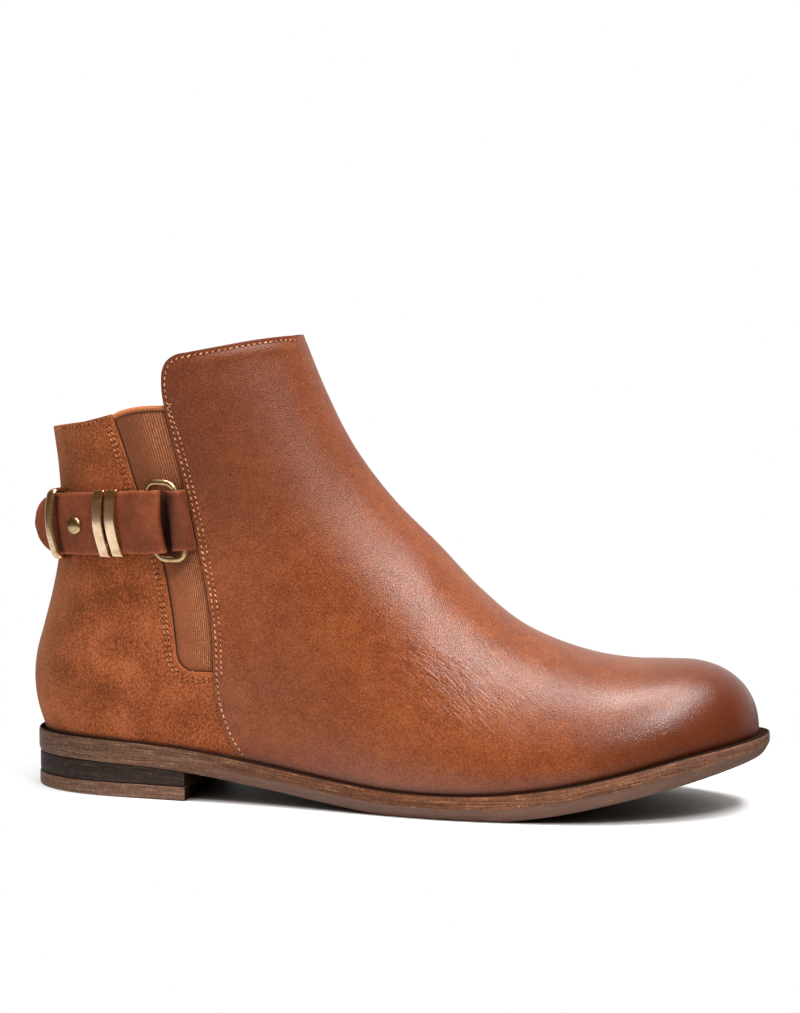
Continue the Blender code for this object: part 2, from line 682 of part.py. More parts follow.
def make_loop():
    start, out, backward = beside_heel(STRAP_PEEL_X, STRAP_OUTER)
    place = start + backward * LOOP_ALONG
    middle = strap_height(place[0])
    reach = STRAP_THICK / 2 + GAP + LOOP_WIRE
    tall = STRAP_HALF + GAP + LOOP_WIRE
    points = []
    for sign in (1, -1):
        foot = 0.0
        x, y, z = leaned(place, backward, middle, sign * tall)
        while y - out[1] * foot < upper_y(x - out[0] * foot, z, "lateral"):
            foot += 0.1
        leg = [(LOOP_SEAT - foot, tall)]
        for angle in np.linspace(0, pi / 2, 5):
            leg.append((reach - LOOP_CORNER * (1 - sin(angle)), tall - LOOP_CORNER * (1 - cos(angle))))
        points += [leaned(place + out * along, backward, middle, sign * up) for along, up in leg[::sign]]
    points.insert(len(points) // 2, leaned(place + out * reach, backward, middle, 0.0))
    wire("keeper_loop", points, LOOP_WIRE, False)


def make_materials():
    for name, (colour, roughness, metallic) in MATERIALS.items():
        material = bpy.data.materials.new(name)
        material.use_nodes = True
        shader = material.node_tree.nodes["Principled BSDF"]
        shader.inputs["Base Color"].default_value = (*colour, 1.0)
        shader.inputs["Roughness"].default_value = roughness
        shader.inputs["Metallic"].default_value = metallic
        material.diffuse_color = (*colour, 1.0)


def centre_on_origin():
    # The root carries the middle of the boot's box to the origin, with the floor at zero
    bpy.context.view_layer.update()
    graph = bpy.context.evaluated_depsgraph_get()
    corners = []
    for obj in bpy.data.collections[COLLECTION].objects:
        if obj.type != "EMPTY":
            held = obj.evaluated_get(graph)
            corners += [held.matrix_world @ vertex.co for vertex in held.to_mesh().vertices]
            held.to_mesh_clear()
    corners = np.array(corners)
    middle = (corners.min(axis=0) + corners.max(axis=0)) / 2
    bpy.data.objects[ROOT].location = (-middle[0], -middle[1], 0.0)


def main():
    clear_scene()
    collection = bpy.data.collections.new(COLLECTION)
    bpy.context.scene.collection.children.link(collection)
    collection.objects.link(bpy.data.objects.new(ROOT, None))
    make_materials()
    make_sole()
    make_upper()
    make_strap()
    make_tab()
    make_ring()
    make_bands()
    make_stud()
    make_loop()
    centre_on_origin()


main()
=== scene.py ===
import math

import bmesh
import bpy
import numpy as np
from mathutils import Matrix, Vector


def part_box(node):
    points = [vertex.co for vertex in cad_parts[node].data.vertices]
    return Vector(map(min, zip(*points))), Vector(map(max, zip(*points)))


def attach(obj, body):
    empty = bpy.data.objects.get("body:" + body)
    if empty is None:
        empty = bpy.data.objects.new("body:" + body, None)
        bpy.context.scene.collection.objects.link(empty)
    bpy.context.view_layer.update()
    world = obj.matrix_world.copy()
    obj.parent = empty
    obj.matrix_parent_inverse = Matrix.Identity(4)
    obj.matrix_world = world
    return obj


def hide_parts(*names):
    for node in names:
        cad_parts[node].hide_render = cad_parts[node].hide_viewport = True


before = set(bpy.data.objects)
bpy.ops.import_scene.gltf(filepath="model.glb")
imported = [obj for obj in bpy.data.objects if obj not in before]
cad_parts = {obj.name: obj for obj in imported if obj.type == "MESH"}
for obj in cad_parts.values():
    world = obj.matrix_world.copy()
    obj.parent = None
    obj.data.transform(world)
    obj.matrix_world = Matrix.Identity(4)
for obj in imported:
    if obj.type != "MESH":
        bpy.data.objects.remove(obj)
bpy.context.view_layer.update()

print("frame loaded:", len(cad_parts), "nodes")

# The boot's own sizes are millimetres: x from heel to toe, y to the medial side, z up from the floor
mm = 0.001
gap = 0.3

soleShape = {
    "x": (0, 32, 65, 90, 115, 138, 158, 176, 195, 215, 238, 264),
    "lateral": (28.0, 27.4, 30.0, 32.2, 36.2, 40.6, 43.2, 43.4, 42.2, 40.6, 38.6, 36.6),
    "medial": (28.0, 27.0, 28.6, 27.4, 28.6, 33.8, 39.2, 42.0, 42.6, 41.4, 38.6, 36.6),
    "top": (20.6, 20.0, 18.1, 14.7, 11.2, 8.8, 8.4, 9.3, 11.9, 16.2, 22.2, 27.4),
    "bottom": (12.4, 12.0, 10.0, 6.4, 2.6, 0.0, 0.0, 0.0, 2.6, 7.0, 13.0, 20.8),
}
soleEnds = {"heel": 2.4, "toe": 262.2, "heelRound": 38.0, "heelPower": 2.0, "toeRound": 66.0, "toePower": 2.1}
feather = {"heel": 4.6, "toe": 258.6, "margin": 1.9}

frontLine = {
    "x": (258.6, 258.2, 256.6, 252.6, 246.5, 238, 227, 215, 203, 190, 176, 161.6, 146.4, 130.8, 116.8, 106,
          99.2),
    "z": (26.9, 31, 37, 43, 47.4, 50, 50.2, 50, 51.3, 54.8, 61, 72.4, 88, 103.4, 121.8, 142.8, 159.3),
}
heelBack = {
    "z": (20, 29, 38, 47, 58, 70, 84, 100, 114, 128, 160),
    "x": (4.6, 1.8, 1.0, 2.0, 5.0, 8.2, 10.8, 11.5, 10.7, 8.9, 6.0),
    "half": (27.0, 28.8, 29.6, 30.0, 29.7, 29.0, 28.3, 28.0, 28.4, 28.8, 29.4),
}
archShape = {
    "x": (0, 70, 110, 150, 190, 230, 264),
    "ridge": (0, 0, 1.5, 3.6, 3.8, 2.0, 0),
    "rise": (2.0, 2.0, 1.9, 1.75, 1.9, 2.2, 2.2),
    "root": (2.0, 2.0, 2.0, 1.9, 2.0, 2.2, 2.2),
}
lastForm = {
    "backRound": 34.0, "frontRound": 46.0, "seatRise": 28.0, "lean": -0.42, "bulge": 0.035, "bulgeAt": 0.2,
    "instep": 200.0,
}
shaftBlend = (66.0, 128.0)
vampEdge = {
    "z": (14, 22, 32, 45, 56, 70, 88, 101, 114, 124, 134, 141, 150),
    "x": (85.4, 80.2, 76.6, 75.3, 75.0, 73.3, 69.6, 66.8, 63.6, 61.0, 58.6, 57.4, 57.4),
}
goreEdge = {
    "z": (14, 45, 52, 60, 70, 83, 92, 101, 110, 119, 125, 131, 136, 150),
    "x": (63.2, 62.6, 62.0, 61.1, 59.5, 56.7, 53.6, 50.0, 46.9, 44.2, 42.2, 39.9, 38.2, 34.0),
}
goreTop = {"x": (38.0, 39.5, 44.0, 48.4, 53.3, 58.6), "z": (132.8, 133.5, 134.9, 135.7, 136.1, 136.2)}
goreBottom = 45.0
counterTop = {"back": 127.2, "front": 133.0, "sag": 0.7}
footLevel = -0.25
vampTop = {
    "x": (57.4, 58.8, 62.0, 67.0, 76.7, 88.9, 94.4, 97.4, 99.2),
    "z": (147.6, 151.0, 153.5, 154.6, 156.5, 158.8, 159.5, 159.7, 159.3),
}
collarFrom = 140.0  # what is higher belongs to the collar
outSign = {"lateral": -1.0, "medial": 1.0}
tiny = 1e-6


def spline(table, column, at):  # smooth curve through a named column, against the table's first one
    knots = np.array(next(iter(table.values())), float)
    values = np.array(table[column], float)
    slopes = np.gradient(values, knots)
    at = np.clip(at, knots[0], knots[-1])
    i = np.clip(np.searchsorted(knots, at, side="right") - 1, 0, len(knots) - 2)
    span = knots[i + 1] - knots[i]
    t = (at - knots[i]) / span
    held = values[i] * (1 + 2 * t) * (1 - t) ** 2 + values[i + 1] * t * t * (3 - 2 * t)
    return held + span * t * (1 - t) * (slopes[i] * (1 - t) - slopes[i + 1] * t)


def lengths(line):  # how far along a line its points lie
    return np.concatenate(([0.0], np.cumsum(np.linalg.norm(np.diff(line, axis=0), axis=1))))


def curveThrough(points, count):  # evenly spaced points on a smooth curve
    points = np.array(points, float)
    along = lengths(points)
    places = np.linspace(0, along[-1], count)
    return np.column_stack([spline({"along": along, "value": row}, "value", places) for row in points.T])


def readLine(line, known, at):  # places between the points of a line
    return np.column_stack([np.interp(at, known, row) for row in line.T])


def pointAt(line, share):
    return readLine(line, np.linspace(0, 1, len(line)), share)


def evenly(line, count):
    steps = lengths(line)
    return readLine(line, steps, np.linspace(0, steps[-1], count))


def unit(ways):
    return ways / np.linalg.norm(ways, axis=1)[:, None]


def smoothStep(low, high, value):
    t = np.clip((value - low) / (high - low), 0.0, 1.0)
    return t * t * (3 - 2 * t)


def roundEnd(share, power):
    return (1 - (1 - np.clip(share, 0.0, 1.0)) ** power) ** (1 / power)


def soleTop(x):
    return spline(soleShape, "top", x)


def soleBottom(x):
    return np.maximum(spline(soleShape, "bottom", x), 0.0)


def heelHalf(x, side, inset, heel, front):  # half width of a plate that is rounded at the heel only
    heelCurve = roundEnd((x - heel) / soleEnds["heelRound"], soleEnds["heelPower"])
    return (spline(soleShape, side, x) - inset) * heelCurve


def outlineHalf(x, side, inset, heel, toe):
    toeCurve = roundEnd((toe - x) / soleEnds["toeRound"], soleEnds["toePower"])
    return heelHalf(x, side, inset, heel, toe) * toeCurve


def featherHalf(x, side):
    return outlineHalf(x, side, feather["margin"], feather["heel"], feather["toe"])


ridgeCurve = curveThrough(np.column_stack((frontLine["x"], frontLine["z"])), 2001)
topCurve = curveThrough(np.column_stack((vampTop["x"], vampTop["z"])), 401)


def ridgeHeight(x):
    topX, topZ = ridgeCurve[-1]
    above = topZ - np.maximum(topX - x, 0.0) / lastForm["lean"]
    return np.where(x < topX, above, np.interp(x, ridgeCurve[::-1, 0], ridgeCurve[::-1, 1]))


def shaftFront(z):
    shaft = ridgeCurve[ridgeCurve[:, 0] < lastForm["instep"]]
    return np.interp(z, shaft[:, 1], shaft[:, 0])


def belowCollar(x, z):
    return np.interp(x, topCurve[:, 0], topCurve[:, 1]) - z


def footHalf(x, z, side):
    ridge = spline(archShape, "ridge", x)
    low = soleTop(x) + gap
    share = np.clip((z - low) / np.maximum(ridgeHeight(x) - low, 0.01), 0, 1)
    base = featherHalf(x, side) - outSign[side] * ridge
    arch = (1 - share ** spline(archShape, "rise", x)) ** (1 / spline(archShape, "root", x))
    bulge = lastForm["bulge"] * share / lastForm["bulgeAt"] * np.exp(1 - share / lastForm["bulgeAt"])
    return base * arch * (1 + bulge)


def shaftHalf(x, z, side):
    behind = x - spline(heelBack, "x", z)
    seat = featherHalf(behind + feather["heel"], side)
    wall = spline(heelBack, "half", z) * roundEnd(behind / lastForm["backRound"], 2.0)
    rise = smoothStep(0.0, lastForm["seatRise"], z - soleTop(x))
    return (seat * (1 - rise) + wall * rise) * roundEnd((shaftFront(z) - x) / lastForm["frontRound"], 2.0)


def upperY(x, z, side):  # outer face of the upper
    blend = smoothStep(*shaftBlend, x)
    half = shaftHalf(x, z, side) * (1 - blend) + footHalf(x, z, side) * blend
    return spline(archShape, "ridge", x) + outSign[side] * half


def aroundY(across, x, z):  # a panel round the boot is lateral in its first half and medial in its second
    return np.where(across <= 0.5, upperY(x, z, "lateral"), upperY(x, z, "medial"))


def onUpper(x, z, side, lift=0.0):  # places on the upper and the directions out of it
    x, z = np.asarray(x, float), np.asarray(z, float)
    step, sign = 0.15, outSign[side]
    slopeX = (upperY(x + step, z, side) - upperY(x - step, z, side)) / (2 * step)
    slopeZ = (upperY(x, z + step, side) - upperY(x, z - step, side)) / (2 * step)
    out = unit(np.column_stack((-sign * slopeX, np.full(len(x), sign), -sign * slopeZ)))
    return np.column_stack((x, upperY(x, z, side), z)) + out * lift, out


# Where the boot's own sizes lie in the frame
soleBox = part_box("outsole")
stationX = np.linspace(soleEnds["heel"], soleEnds["toe"], 2000)
shiftX = soleBox[1].x / mm - soleEnds["toe"]
shiftY = soleBox[0].y / mm + outlineHalf(stationX, "lateral", 0.0, soleEnds["heel"], soleEnds["toe"]).max()
toFrame = Matrix.Scale(mm, 4) @ Matrix.Translation((shiftX, shiftY, 0.0))


# Nodes of the materials
def add(tree, kind, sockets=None, **settings):
    made = tree.nodes.new("ShaderNode" + kind)
    for key, value in settings.items():
        setattr(made, key, value)
    for key, value in (sockets or {}).items():
        if isinstance(value, bpy.types.NodeSocket):
            tree.links.new(value, made.inputs[key])
        else:
            made.inputs[key].default_value = value
    return made


def newMaterial(name, **constants):
    material = bpy.data.materials.new(name)
    material.use_nodes = True
    shader = material.node_tree.nodes["Principled BSDF"]
    for key, value in constants.items():
        shader.inputs[key.replace("_", " ")].default_value = value
    return material, material.node_tree, shader


def noiseAt(tree, vector, scale, detail=3.0, roughness=0.55, distortion=0.0):
    sockets = {"Vector": vector, "Scale": scale, "Detail": detail, "Roughness": roughness}
    return add(tree, "TexNoise", {**sockets, "Distortion": distortion}).outputs["Fac"]


def stretched(tree, vector, scale, turn=(0.0, 0.0, 0.0)):
    return add(tree, "Mapping", {"Vector": vector, "Scale": scale, "Rotation": turn}).outputs["Vector"]


def ranged(tree, value, low, high, outLow=0.0, outHigh=1.0):
    sockets = {"Value": value, "From Min": low, "From Max": high, "To Min": outLow, "To Max": outHigh}
    return add(tree, "MapRange", sockets).outputs["Result"]


def maths(tree, operation, first, second):
    return add(tree, "Math", {0: first, 1: second}, operation=operation).outputs[0]


def times(tree, first, second):
    return maths(tree, "MULTIPLY", first, second)


def weighted(tree, *parts):  # sum of values, each with its weight
    total = times(tree, *parts[0])
    for part in parts[1:]:
        total = maths(tree, "ADD", total, times(tree, *part))
    return total


def mixed(tree, factor, first, second, blend="MIX"):  # two colours, each a socket or three numbers
    pair = [c if isinstance(c, bpy.types.NodeSocket) else (*c, 1.0) for c in (first, second)]
    sockets = {0: factor, 6: pair[0], 7: pair[1]}
    return add(tree, "Mix", sockets, data_type="RGBA", blend_type=blend).outputs[2]


def ramp(tree, factor, stops):
    made = add(tree, "ValToRGB", {"Fac": factor})
    points = made.color_ramp.elements
    for k, (place, colour) in enumerate(stops):
        point = points[k] if k < 2 else points.new(place)
        point.position = place
        point.color = (*colour, 1.0)
    return made.outputs["Color"]


def mark(tree, name):
    return add(tree, "Attribute", attribute_name=name).outputs["Fac"]


def bumpOn(tree, height, strength, depth, under=None):
    sockets = {"Height": height, "Strength": strength, "Distance": depth * mm}
    if under is not None:
        sockets["Normal"] = under
    return add(tree, "Bump", sockets).outputs["Normal"]


def objectPlace(tree):
    return add(tree, "TexCoord").outputs["Object"]


def wire(tree, shader, **values):  # joins sockets to the shader's inputs
    for key, value in values.items():
        tree.links.new(value, shader.inputs[key.replace("_", " ")])


def speckled(name, scale, stops, **constants):  # a plain finish with a fine fleck
    made, tree, shader = newMaterial(name, **constants)
    wire(tree, shader, Base_Color=ramp(tree, noiseAt(tree, objectPlace(tree), scale), stops))
    return made, tree, shader


# Building and finishing of pieces
def wrapGrid(across, up, place, bm=None):  # a grid laid over the boot by a function of its two shares
    if bm is None:
        bm = bmesh.new()
    verts = bmesh.ops.create_grid(bm, x_segments=across, y_segments=up, size=0.5)["verts"]
    flat = np.array([v.co[:2] for v in verts]) + 0.5
    for v, p in zip(verts, place(flat[:, 0], flat[:, 1])):
        v.co = p
    return bm, flat


def faceOut(bm):  # an open panel's faces turn away from the middle of the boot
    bm.normal_update()
    if sum(f.normal.y * f.calc_center_median().y for f in bm.faces) < 0:
        bmesh.ops.reverse_faces(bm, faces=bm.faces)
    bm.normal_update()


def weld(bm, distance):
    bmesh.ops.remove_doubles(bm, verts=bm.verts, dist=distance)
    bmesh.ops.recalc_face_normals(bm, faces=bm.faces)


def capEnds(bm, first, last):
    bmesh.ops.holes_fill(bm, edges=first[1] + last[1], sides=0)
    bmesh.ops.recalc_face_normals(bm, faces=bm.faces)


def sew(bm):  # grids that meet along an edge become one panel
    weld(bm, 0.004)
    faceOut(bm)


def loft(bm, rings, marks=None):  # one ring of edges drawn out through the places of the next ones
    for name in ("run", "depth"):
        bm.verts.layers.float.new(name)
    made = bmesh.ops.create_circle(bm, segments=len(rings[0]), radius=1.0)["verts"]
    for v, p in zip(made, rings[0]):
        v.co = p
    edges = list(dict.fromkeys(e for v in made for e in v.link_edges))
    setMarks(bm, made, marks, 0)
    return (made, edges), drawOut(bm, made, edges, rings, marks)


def setMarks(bm, verts, marks, row):
    if marks is not None:
        run, depth = [bm.verts.layers.float[name] for name in ("run", "depth")]
        for v, along in zip(verts, marks[0]):
            v[run] = along
            v[depth] = marks[1][row]


def drawOut(bm, verts, edges, rings, marks):
    for row, ring in enumerate(rings[1:], 1):
        order = {tuple(v.co): k for k, v in enumerate(verts)}
        drawn = bmesh.ops.extrude_edge_only(bm, edges=edges)["geom"]
        fresh = {v for v in drawn if isinstance(v, bmesh.types.BMVert)}
        verts = sorted(fresh, key=lambda v: order[tuple(v.co)])
        edges = [e for e in drawn if isinstance(e, bmesh.types.BMEdge) and set(e.verts) <= fresh]
        for v, p in zip(verts, ring):
            v.co = p
        setMarks(bm, verts, marks, row)
    return verts, edges


def finishPiece(bm, name, materials, node=None, marks=None, smooth=0.9):
    bmesh.ops.transform(bm, matrix=toFrame, verts=bm.verts)
    mesh = bpy.data.meshes.new(name)
    bm.to_mesh(mesh)
    bm.free()
    mesh.shade_smooth()
    mesh.set_sharp_from_angle(angle=smooth)
    for key, values in (marks or {}).items():
        mesh.attributes.new(key, "FLOAT", "POINT").data.foreach_set("value", np.asarray(values, np.float32))
    for material in materials:
        mesh.materials.append(material)
    piece = bpy.data.objects.new(name, mesh)
    bpy.context.scene.collection.objects.link(piece)
    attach(piece, "root")
    if node:
        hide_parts(node)
    return piece


def thicken(piece, wall, offset, rim=0):
    made = piece.modifiers.new("wall", "SOLIDIFY")
    made.thickness = wall * mm
    made.offset = offset
    made.material_offset_rim = rim


def softenEdges(piece, width, segments=2, angle=0.7):
    made = piece.modifiers.new("edge", "BEVEL")
    made.width = width * mm
    made.segments = segments
    made.limit_method = "ANGLE"
    made.angle_limit = angle
    made.harden_normals = False


def shoePlaces(bm):
    return np.array([v.co for v in bm.verts])


def moveOut(bm, heights):
    bm.normal_update()
    for v, h in zip(bm.verts, heights):
        v.co += v.normal * h


# Vamp: smooth cognac leather from the toe to the high collar
vampPiece = {
    "girth": 200, "sections": 230, "nose": 0.1, "rearFade": 3, "noseFade": 6, "rearDense": 1.35,
    "wall": 1.5, "edgeRound": 0.35,
    "deep": (0.122, 0.0198, 0.003), "base": (0.188, 0.0376, 0.0066), "warm": (0.272, 0.07, 0.017),
    "burnishAndShade": (0.075, 0.0125, 0.003), "fleck": (0.38, 0.14, 0.052),
    "soleShadow": (0.025, 0.007, 0.003), "soleShadowTall": 1.2,
    "rough": 0.305, "toeRough": 0.275, "endRough": 0.275, "endFrom": (218, 252),
    "shaftRough": 0.4, "shaftFrom": (72, 96), "toeCoat": 0.18,
}
footEnd = 84.4

# Creases of the vamp on its lateral side: start, bend and end in side view, width and depth of the trough
creases = (
    ((128.8, 56.6), (148.4, 53.6), (161.3, 48.5), 1.5, 0.1),
    ((130.1, 53.7), (140.3, 50.2), (147.8, 49.4), 1.4, 0.07),
    ((156.1, 44.3), (167.3, 46.4), (185.8, 47.4), 1.6, 0.15),
    ((161.6, 53.5), (164.8, 50.2), (167.2, 46.6), 1.3, 0.07),
    ((159.5, 43.9), (163.3, 39.4), (168.6, 34.8), 1.5, 0.08),
    ((146.4, 41.8), (153.6, 39.2), (158.7, 36.5), 1.5, 0.06),
    ((176.1, 33.2), (182.0, 32.4), (188.3, 32.1), 1.8, 0.05),
    ((138.0, 47.5), (146.0, 45.2), (153.0, 44.2), 1.5, 0.06),
    ((170.5, 44.0), (174.5, 40.0), (180.0, 37.0), 1.5, 0.06),
    ((150.0, 60.5), (158.0, 57.0), (165.0, 53.0), 1.5, 0.05),
)
creaseForm = {
    "x": (115, 215), "z": (20, 75), "ends": (0.04, 0.96), "ridge": 0.45, "apart": 1.9, "medial": 0.55,
}
topFold = {"x": 199.5, "across": 3.2, "reach": 5.0, "aside": -7.0, "depth": 0.22, "above": 45.0}
collarRoll = {
    "joinShade": 1.5, "seamWide": 0.7, "seamDepth": 0.16, "roll": 4.2, "rollWide": 1.7, "rollHeight": 0.24,
    "rear": (60.0, 66.0), "front": (101.0, 96.0),
}
wrinkleSpot = {"x": 150, "z": 42, "long": 34, "tall": 17, "full": 1.2}
wrinkleFlow = {
    "x": (105, 128, 144, 154, 163, 174, 188, 210),
    "fall": (0.05, 0.12, 0.35, 0.7, 0.85, 0.65, 0.4, 0.2),
}
polishZone = {"rear": (198, 218), "front": (244, 224), "low": (28, 37), "high": (50, 45)}
lowToeZone = {"x": (188, 222), "aboveSole": (24, 11)}
ballSpot = {"x": 196, "z": 43, "long": 13, "tall": 8}
# Where the leather is darker, partly burnish and partly painted shade, how much so, and the places between
# which that comes in
burnishAndShadeZones = {
    "low": 0.68, "lowReach": 8.0, "lowToe": 0.75, "lowAtToe": 0.3, "ball": 0.3,
    "toe": 0.92, "toeX": (220, 254), "crown": 0.55, "crownX": (206, 236), "crownZ": (40, 48),
    "collar": 0.42, "collarBelow": (16.0, 5.0), "collarX": (101, 92),
    "shaft": 0.42, "shaftZ": (82, 116), "frontLess": 0.2, "frontNear": (-20.0, -5.0),
    "rear": 0.25, "rearReach": 5.0, "rearZ": (60, 20),
}

riseZ = np.linspace(soleTop(footEnd) + footLevel, vampTop["z"][0], 400)
rearLine = evenly(np.vstack((np.column_stack((spline(vampEdge, "x", riseZ), riseZ)), topCurve[1:])), 1201)


def vampSide(section, girth):  # side view: sections from the rear edge to the nose, each from the sole up
    p = vampPiece
    s, t = np.sin(np.pi / 2 * section ** p["rearDense"])[:, None], np.sin(np.pi / 2 * girth)[:, None]
    tip, crown = ridgeCurve[0], pointAt(ridgeCurve, np.array([p["nose"]]))[0]
    footX = rearLine[0, 0] + (tip[0] - rearLine[0, 0]) * s[:, 0]
    foot = np.column_stack((footX, soleTop(footX) + footLevel))
    front = pointAt(ridgeCurve, 1 - (1 - p["nose"]) * s[:, 0])
    back = pointAt(rearLine, t[:, 0]) - (1 - t) * rearLine[0] - t * rearLine[-1]
    nose = pointAt(ridgeCurve, p["nose"] * t[:, 0]) - (1 - t) * ridgeCurve[0] - t * crown
    return (1 - t) * foot + t * front + (1 - s) ** p["rearFade"] * back + s ** p["noseFade"] * nose


def vampPlace(across, section):  # from the lateral sole edge over the front line to the medial one
    girth = 1 - np.abs(2 * across - 1)
    x, z = vampSide(section, girth).T
    onRidge = (girth > 1 - tiny) | (section > 1 - tiny)
    y = np.where(onRidge, spline(archShape, "ridge", x), aroundY(across, x, z))
    return np.column_stack((x, y, z))


def distanceTo(x, z, line, count=15):  # distance in side view to a curve, and the share along it
    points = curveThrough(line, count)
    apart = np.hypot(x[:, None] - points[None, :, 0], z[:, None] - points[None, :, 1])
    near = apart.argmin(axis=1)
    return apart.min(axis=1), near / (len(points) - 1)


def spotAt(x, z, spot):  # a soft round patch in side view
    return np.exp(-((x - spot["x"]) / spot["long"]) ** 2 - ((z - spot["z"]) / spot["tall"]) ** 2)


def creaseHeights(places):
    x, y, z = places.T
    c, r = creaseForm, collarRoll
    ridge = spline(archShape, "ridge", x)
    height = np.zeros(len(x))
    near = (x > c["x"][0]) & (x < c["x"][1]) & (z > c["z"][0]) & (z < c["z"][1])
    for start, bend, end, width, depth in creases:
        apart, share = distanceTo(x[near], z[near], (start, bend, end))
        fade = np.sin(np.pi * np.clip(share, *c["ends"]))
        trough = np.exp(-(apart / width) ** 2)
        ridges = c["ridge"] * np.exp(-((apart - c["apart"] * width) / width) ** 2)
        side = np.where(y[near] < ridge[near], 1.0, c["medial"])
        height[near] -= depth * fade * (trough - ridges) * side
    fold = np.exp(-((x - topFold["x"]) / topFold["across"]) ** 2)
    fold *= np.exp(-((y - ridge - topFold["aside"]) / topFold["reach"]) ** 2) * (z > topFold["above"])
    below = belowCollar(x, z)
    roll = np.exp(-((below - r["roll"]) / r["rollWide"]) ** 2) * r["rollHeight"]
    roll -= np.exp(-((below - r["joinShade"]) / r["seamWide"]) ** 2) * r["seamDepth"]
    roll *= smoothStep(*r["rear"], x) * smoothStep(*r["front"], x) * (z > collarFrom)
    return height - topFold["depth"] * fold + roll


def wrinkleField(places):
    return np.clip(spotAt(places[:, 0], places[:, 2], wrinkleSpot) * wrinkleSpot["full"], 0, 1)


def flowHeight(places):  # stays the same along a wrinkle, which falls more steeply towards the ball
    at = np.linspace(wrinkleFlow["x"][0], wrinkleFlow["x"][-1], 201)
    fallen = np.concatenate(([0.0], np.cumsum(spline(wrinkleFlow, "fall", at)[1:] * np.diff(at))))
    return places[:, 2] + np.interp(places[:, 0], at, fallen)


def polishField(places):  # the top of the toe is glossier
    x, y, z = places.T
    zone = polishZone
    along = smoothStep(*zone["rear"], x) * smoothStep(*zone["front"], x)
    return along * smoothStep(*zone["low"], z) * smoothStep(*zone["high"], z)


def lowToe(places):
    x, y, z = places.T
    return smoothStep(*lowToeZone["x"], x) * smoothStep(*lowToeZone["aboveSole"], z - soleTop(x))


def roughField(places):
    p = vampPiece
    rough = p["rough"] + (p["shaftRough"] - p["rough"]) * smoothStep(*p["shaftFrom"], places[:, 2])
    rough += (p["toeRough"] - rough) * polishField(places)
    end = np.maximum(lowToe(places), smoothStep(*p["endFrom"], places[:, 0]))
    return rough + (p["endRough"] - rough) * end


# Darker leather, partly burnish and partly painted shade
def burnishAndShadeField(places):
    x, y, z = places.T
    b = burnishAndShadeZones
    low = np.exp(-np.maximum(z - soleTop(x), 0) / b["lowReach"]) * b["low"]
    ball = b["ball"] * spotAt(x, z, ballSpot)
    toe = smoothStep(*b["toeX"], x) * b["toe"]
    crown = smoothStep(*b["crownX"], x) * smoothStep(*b["crownZ"], z) * b["crown"]
    collar = smoothStep(*b["collarBelow"], belowCollar(x, z)) * smoothStep(*b["collarX"], x) * b["collar"]
    front = smoothStep(*b["frontNear"], -np.abs(y - spline(archShape, "ridge", x)))
    shaft = smoothStep(*b["shaftZ"], z) * (b["shaft"] - b["frontLess"] * front)
    fromRear = np.maximum(x - spline(vampEdge, "x", z), 0)
    rear = np.exp(-fromRear / b["rearReach"]) * smoothStep(*b["rearZ"], z) * b["rear"]
    darkest = np.maximum.reduce((low, b["lowToe"] * lowToe(places), ball, toe, crown, collar, shaft, rear))
    return np.clip(darkest + b["lowAtToe"] * np.minimum(low, toe), 0, 1)


def cognacLeather(piece):
    made, tree, shader = newMaterial("cognac_leather", Coat_Roughness=0.28, Specular_IOR_Level=0.42)
    place = objectPlace(tree)
    broad = noiseAt(tree, place, 34.0, 3.0, 0.55, 0.3)
    patch = noiseAt(tree, place, 190.0, 4.0, 0.65)
    speck = noiseAt(tree, place, 1800.0, 2.0, 0.75)
    tone = weighted(tree, (broad, 0.18), (patch, 0.22), (speck, 0.6))
    colour = ramp(tree, tone, ((0.4, piece["deep"]), (0.6, piece["warm"]), (0.5, piece["base"])))
    flecks = ranged(tree, noiseAt(tree, place, 2600.0, 1.0, 0.5), 0.56, 0.72, 0.0, 0.5)
    colour = mixed(tree, flecks, colour, piece["fleck"])
    # this mark darkens the colour: partly burnish, partly painted shade
    patchy = times(tree, mark(tree, "burnishAndShade"), ranged(tree, patch, 0.2, 0.7, 0.8, 1.0))
    colour = mixed(tree, patchy, colour, piece["burnishAndShade"])
    # painted shadow: a thin dark line where the vamp meets the sole
    colour = mixed(tree, mark(tree, "soleShadow"), colour, piece["soleShadow"])
    sockets = {"Vector": place, "Scale": 1250.0, "Randomness": 0.95}
    pebble = add(tree, "TexVoronoi", sockets, feature="DISTANCE_TO_EDGE").outputs["Distance"]
    pores = noiseAt(tree, place, 2400.0, 2.0, 0.6)
    grain = weighted(tree, (ranged(tree, pebble, 0.0, 0.22), 1.0), (pores, 0.8))
    flow = add(tree, "CombineXYZ", {"X": mark(tree, "along"), "Y": mark(tree, "flow")}).outputs["Vector"]
    lines = []
    for scale in ((0.09, 0.27, 1.0), (0.17, 0.5, 1.0)):  # valleys where a drawn-out noise crosses its middle
        drawn = noiseAt(tree, stretched(tree, flow, scale), 1.0, 2.0, 0.5, 0.6)
        apart = maths(tree, "ABSOLUTE", maths(tree, "SUBTRACT", drawn, 0.5), 0.0)
        lines += [(maths(tree, "POWER", ranged(tree, apart, 0.0, 0.17, 1.0, 0.0), 1.6), -0.5), (drawn, 0.5)]
    valleys = times(tree, weighted(tree, *lines), mark(tree, "wrinkle"))
    normal = bumpOn(tree, valleys, 0.62, 0.22)
    wire(tree, shader, Base_Color=colour, Normal=bumpOn(tree, grain, 0.27, 0.12, normal),
         Coat_Weight=times(tree, mark(tree, "polish"), piece["toeCoat"]),
         Roughness=weighted(tree, (mark(tree, "rough"), 1.0), (patch, 0.05)))
    return made


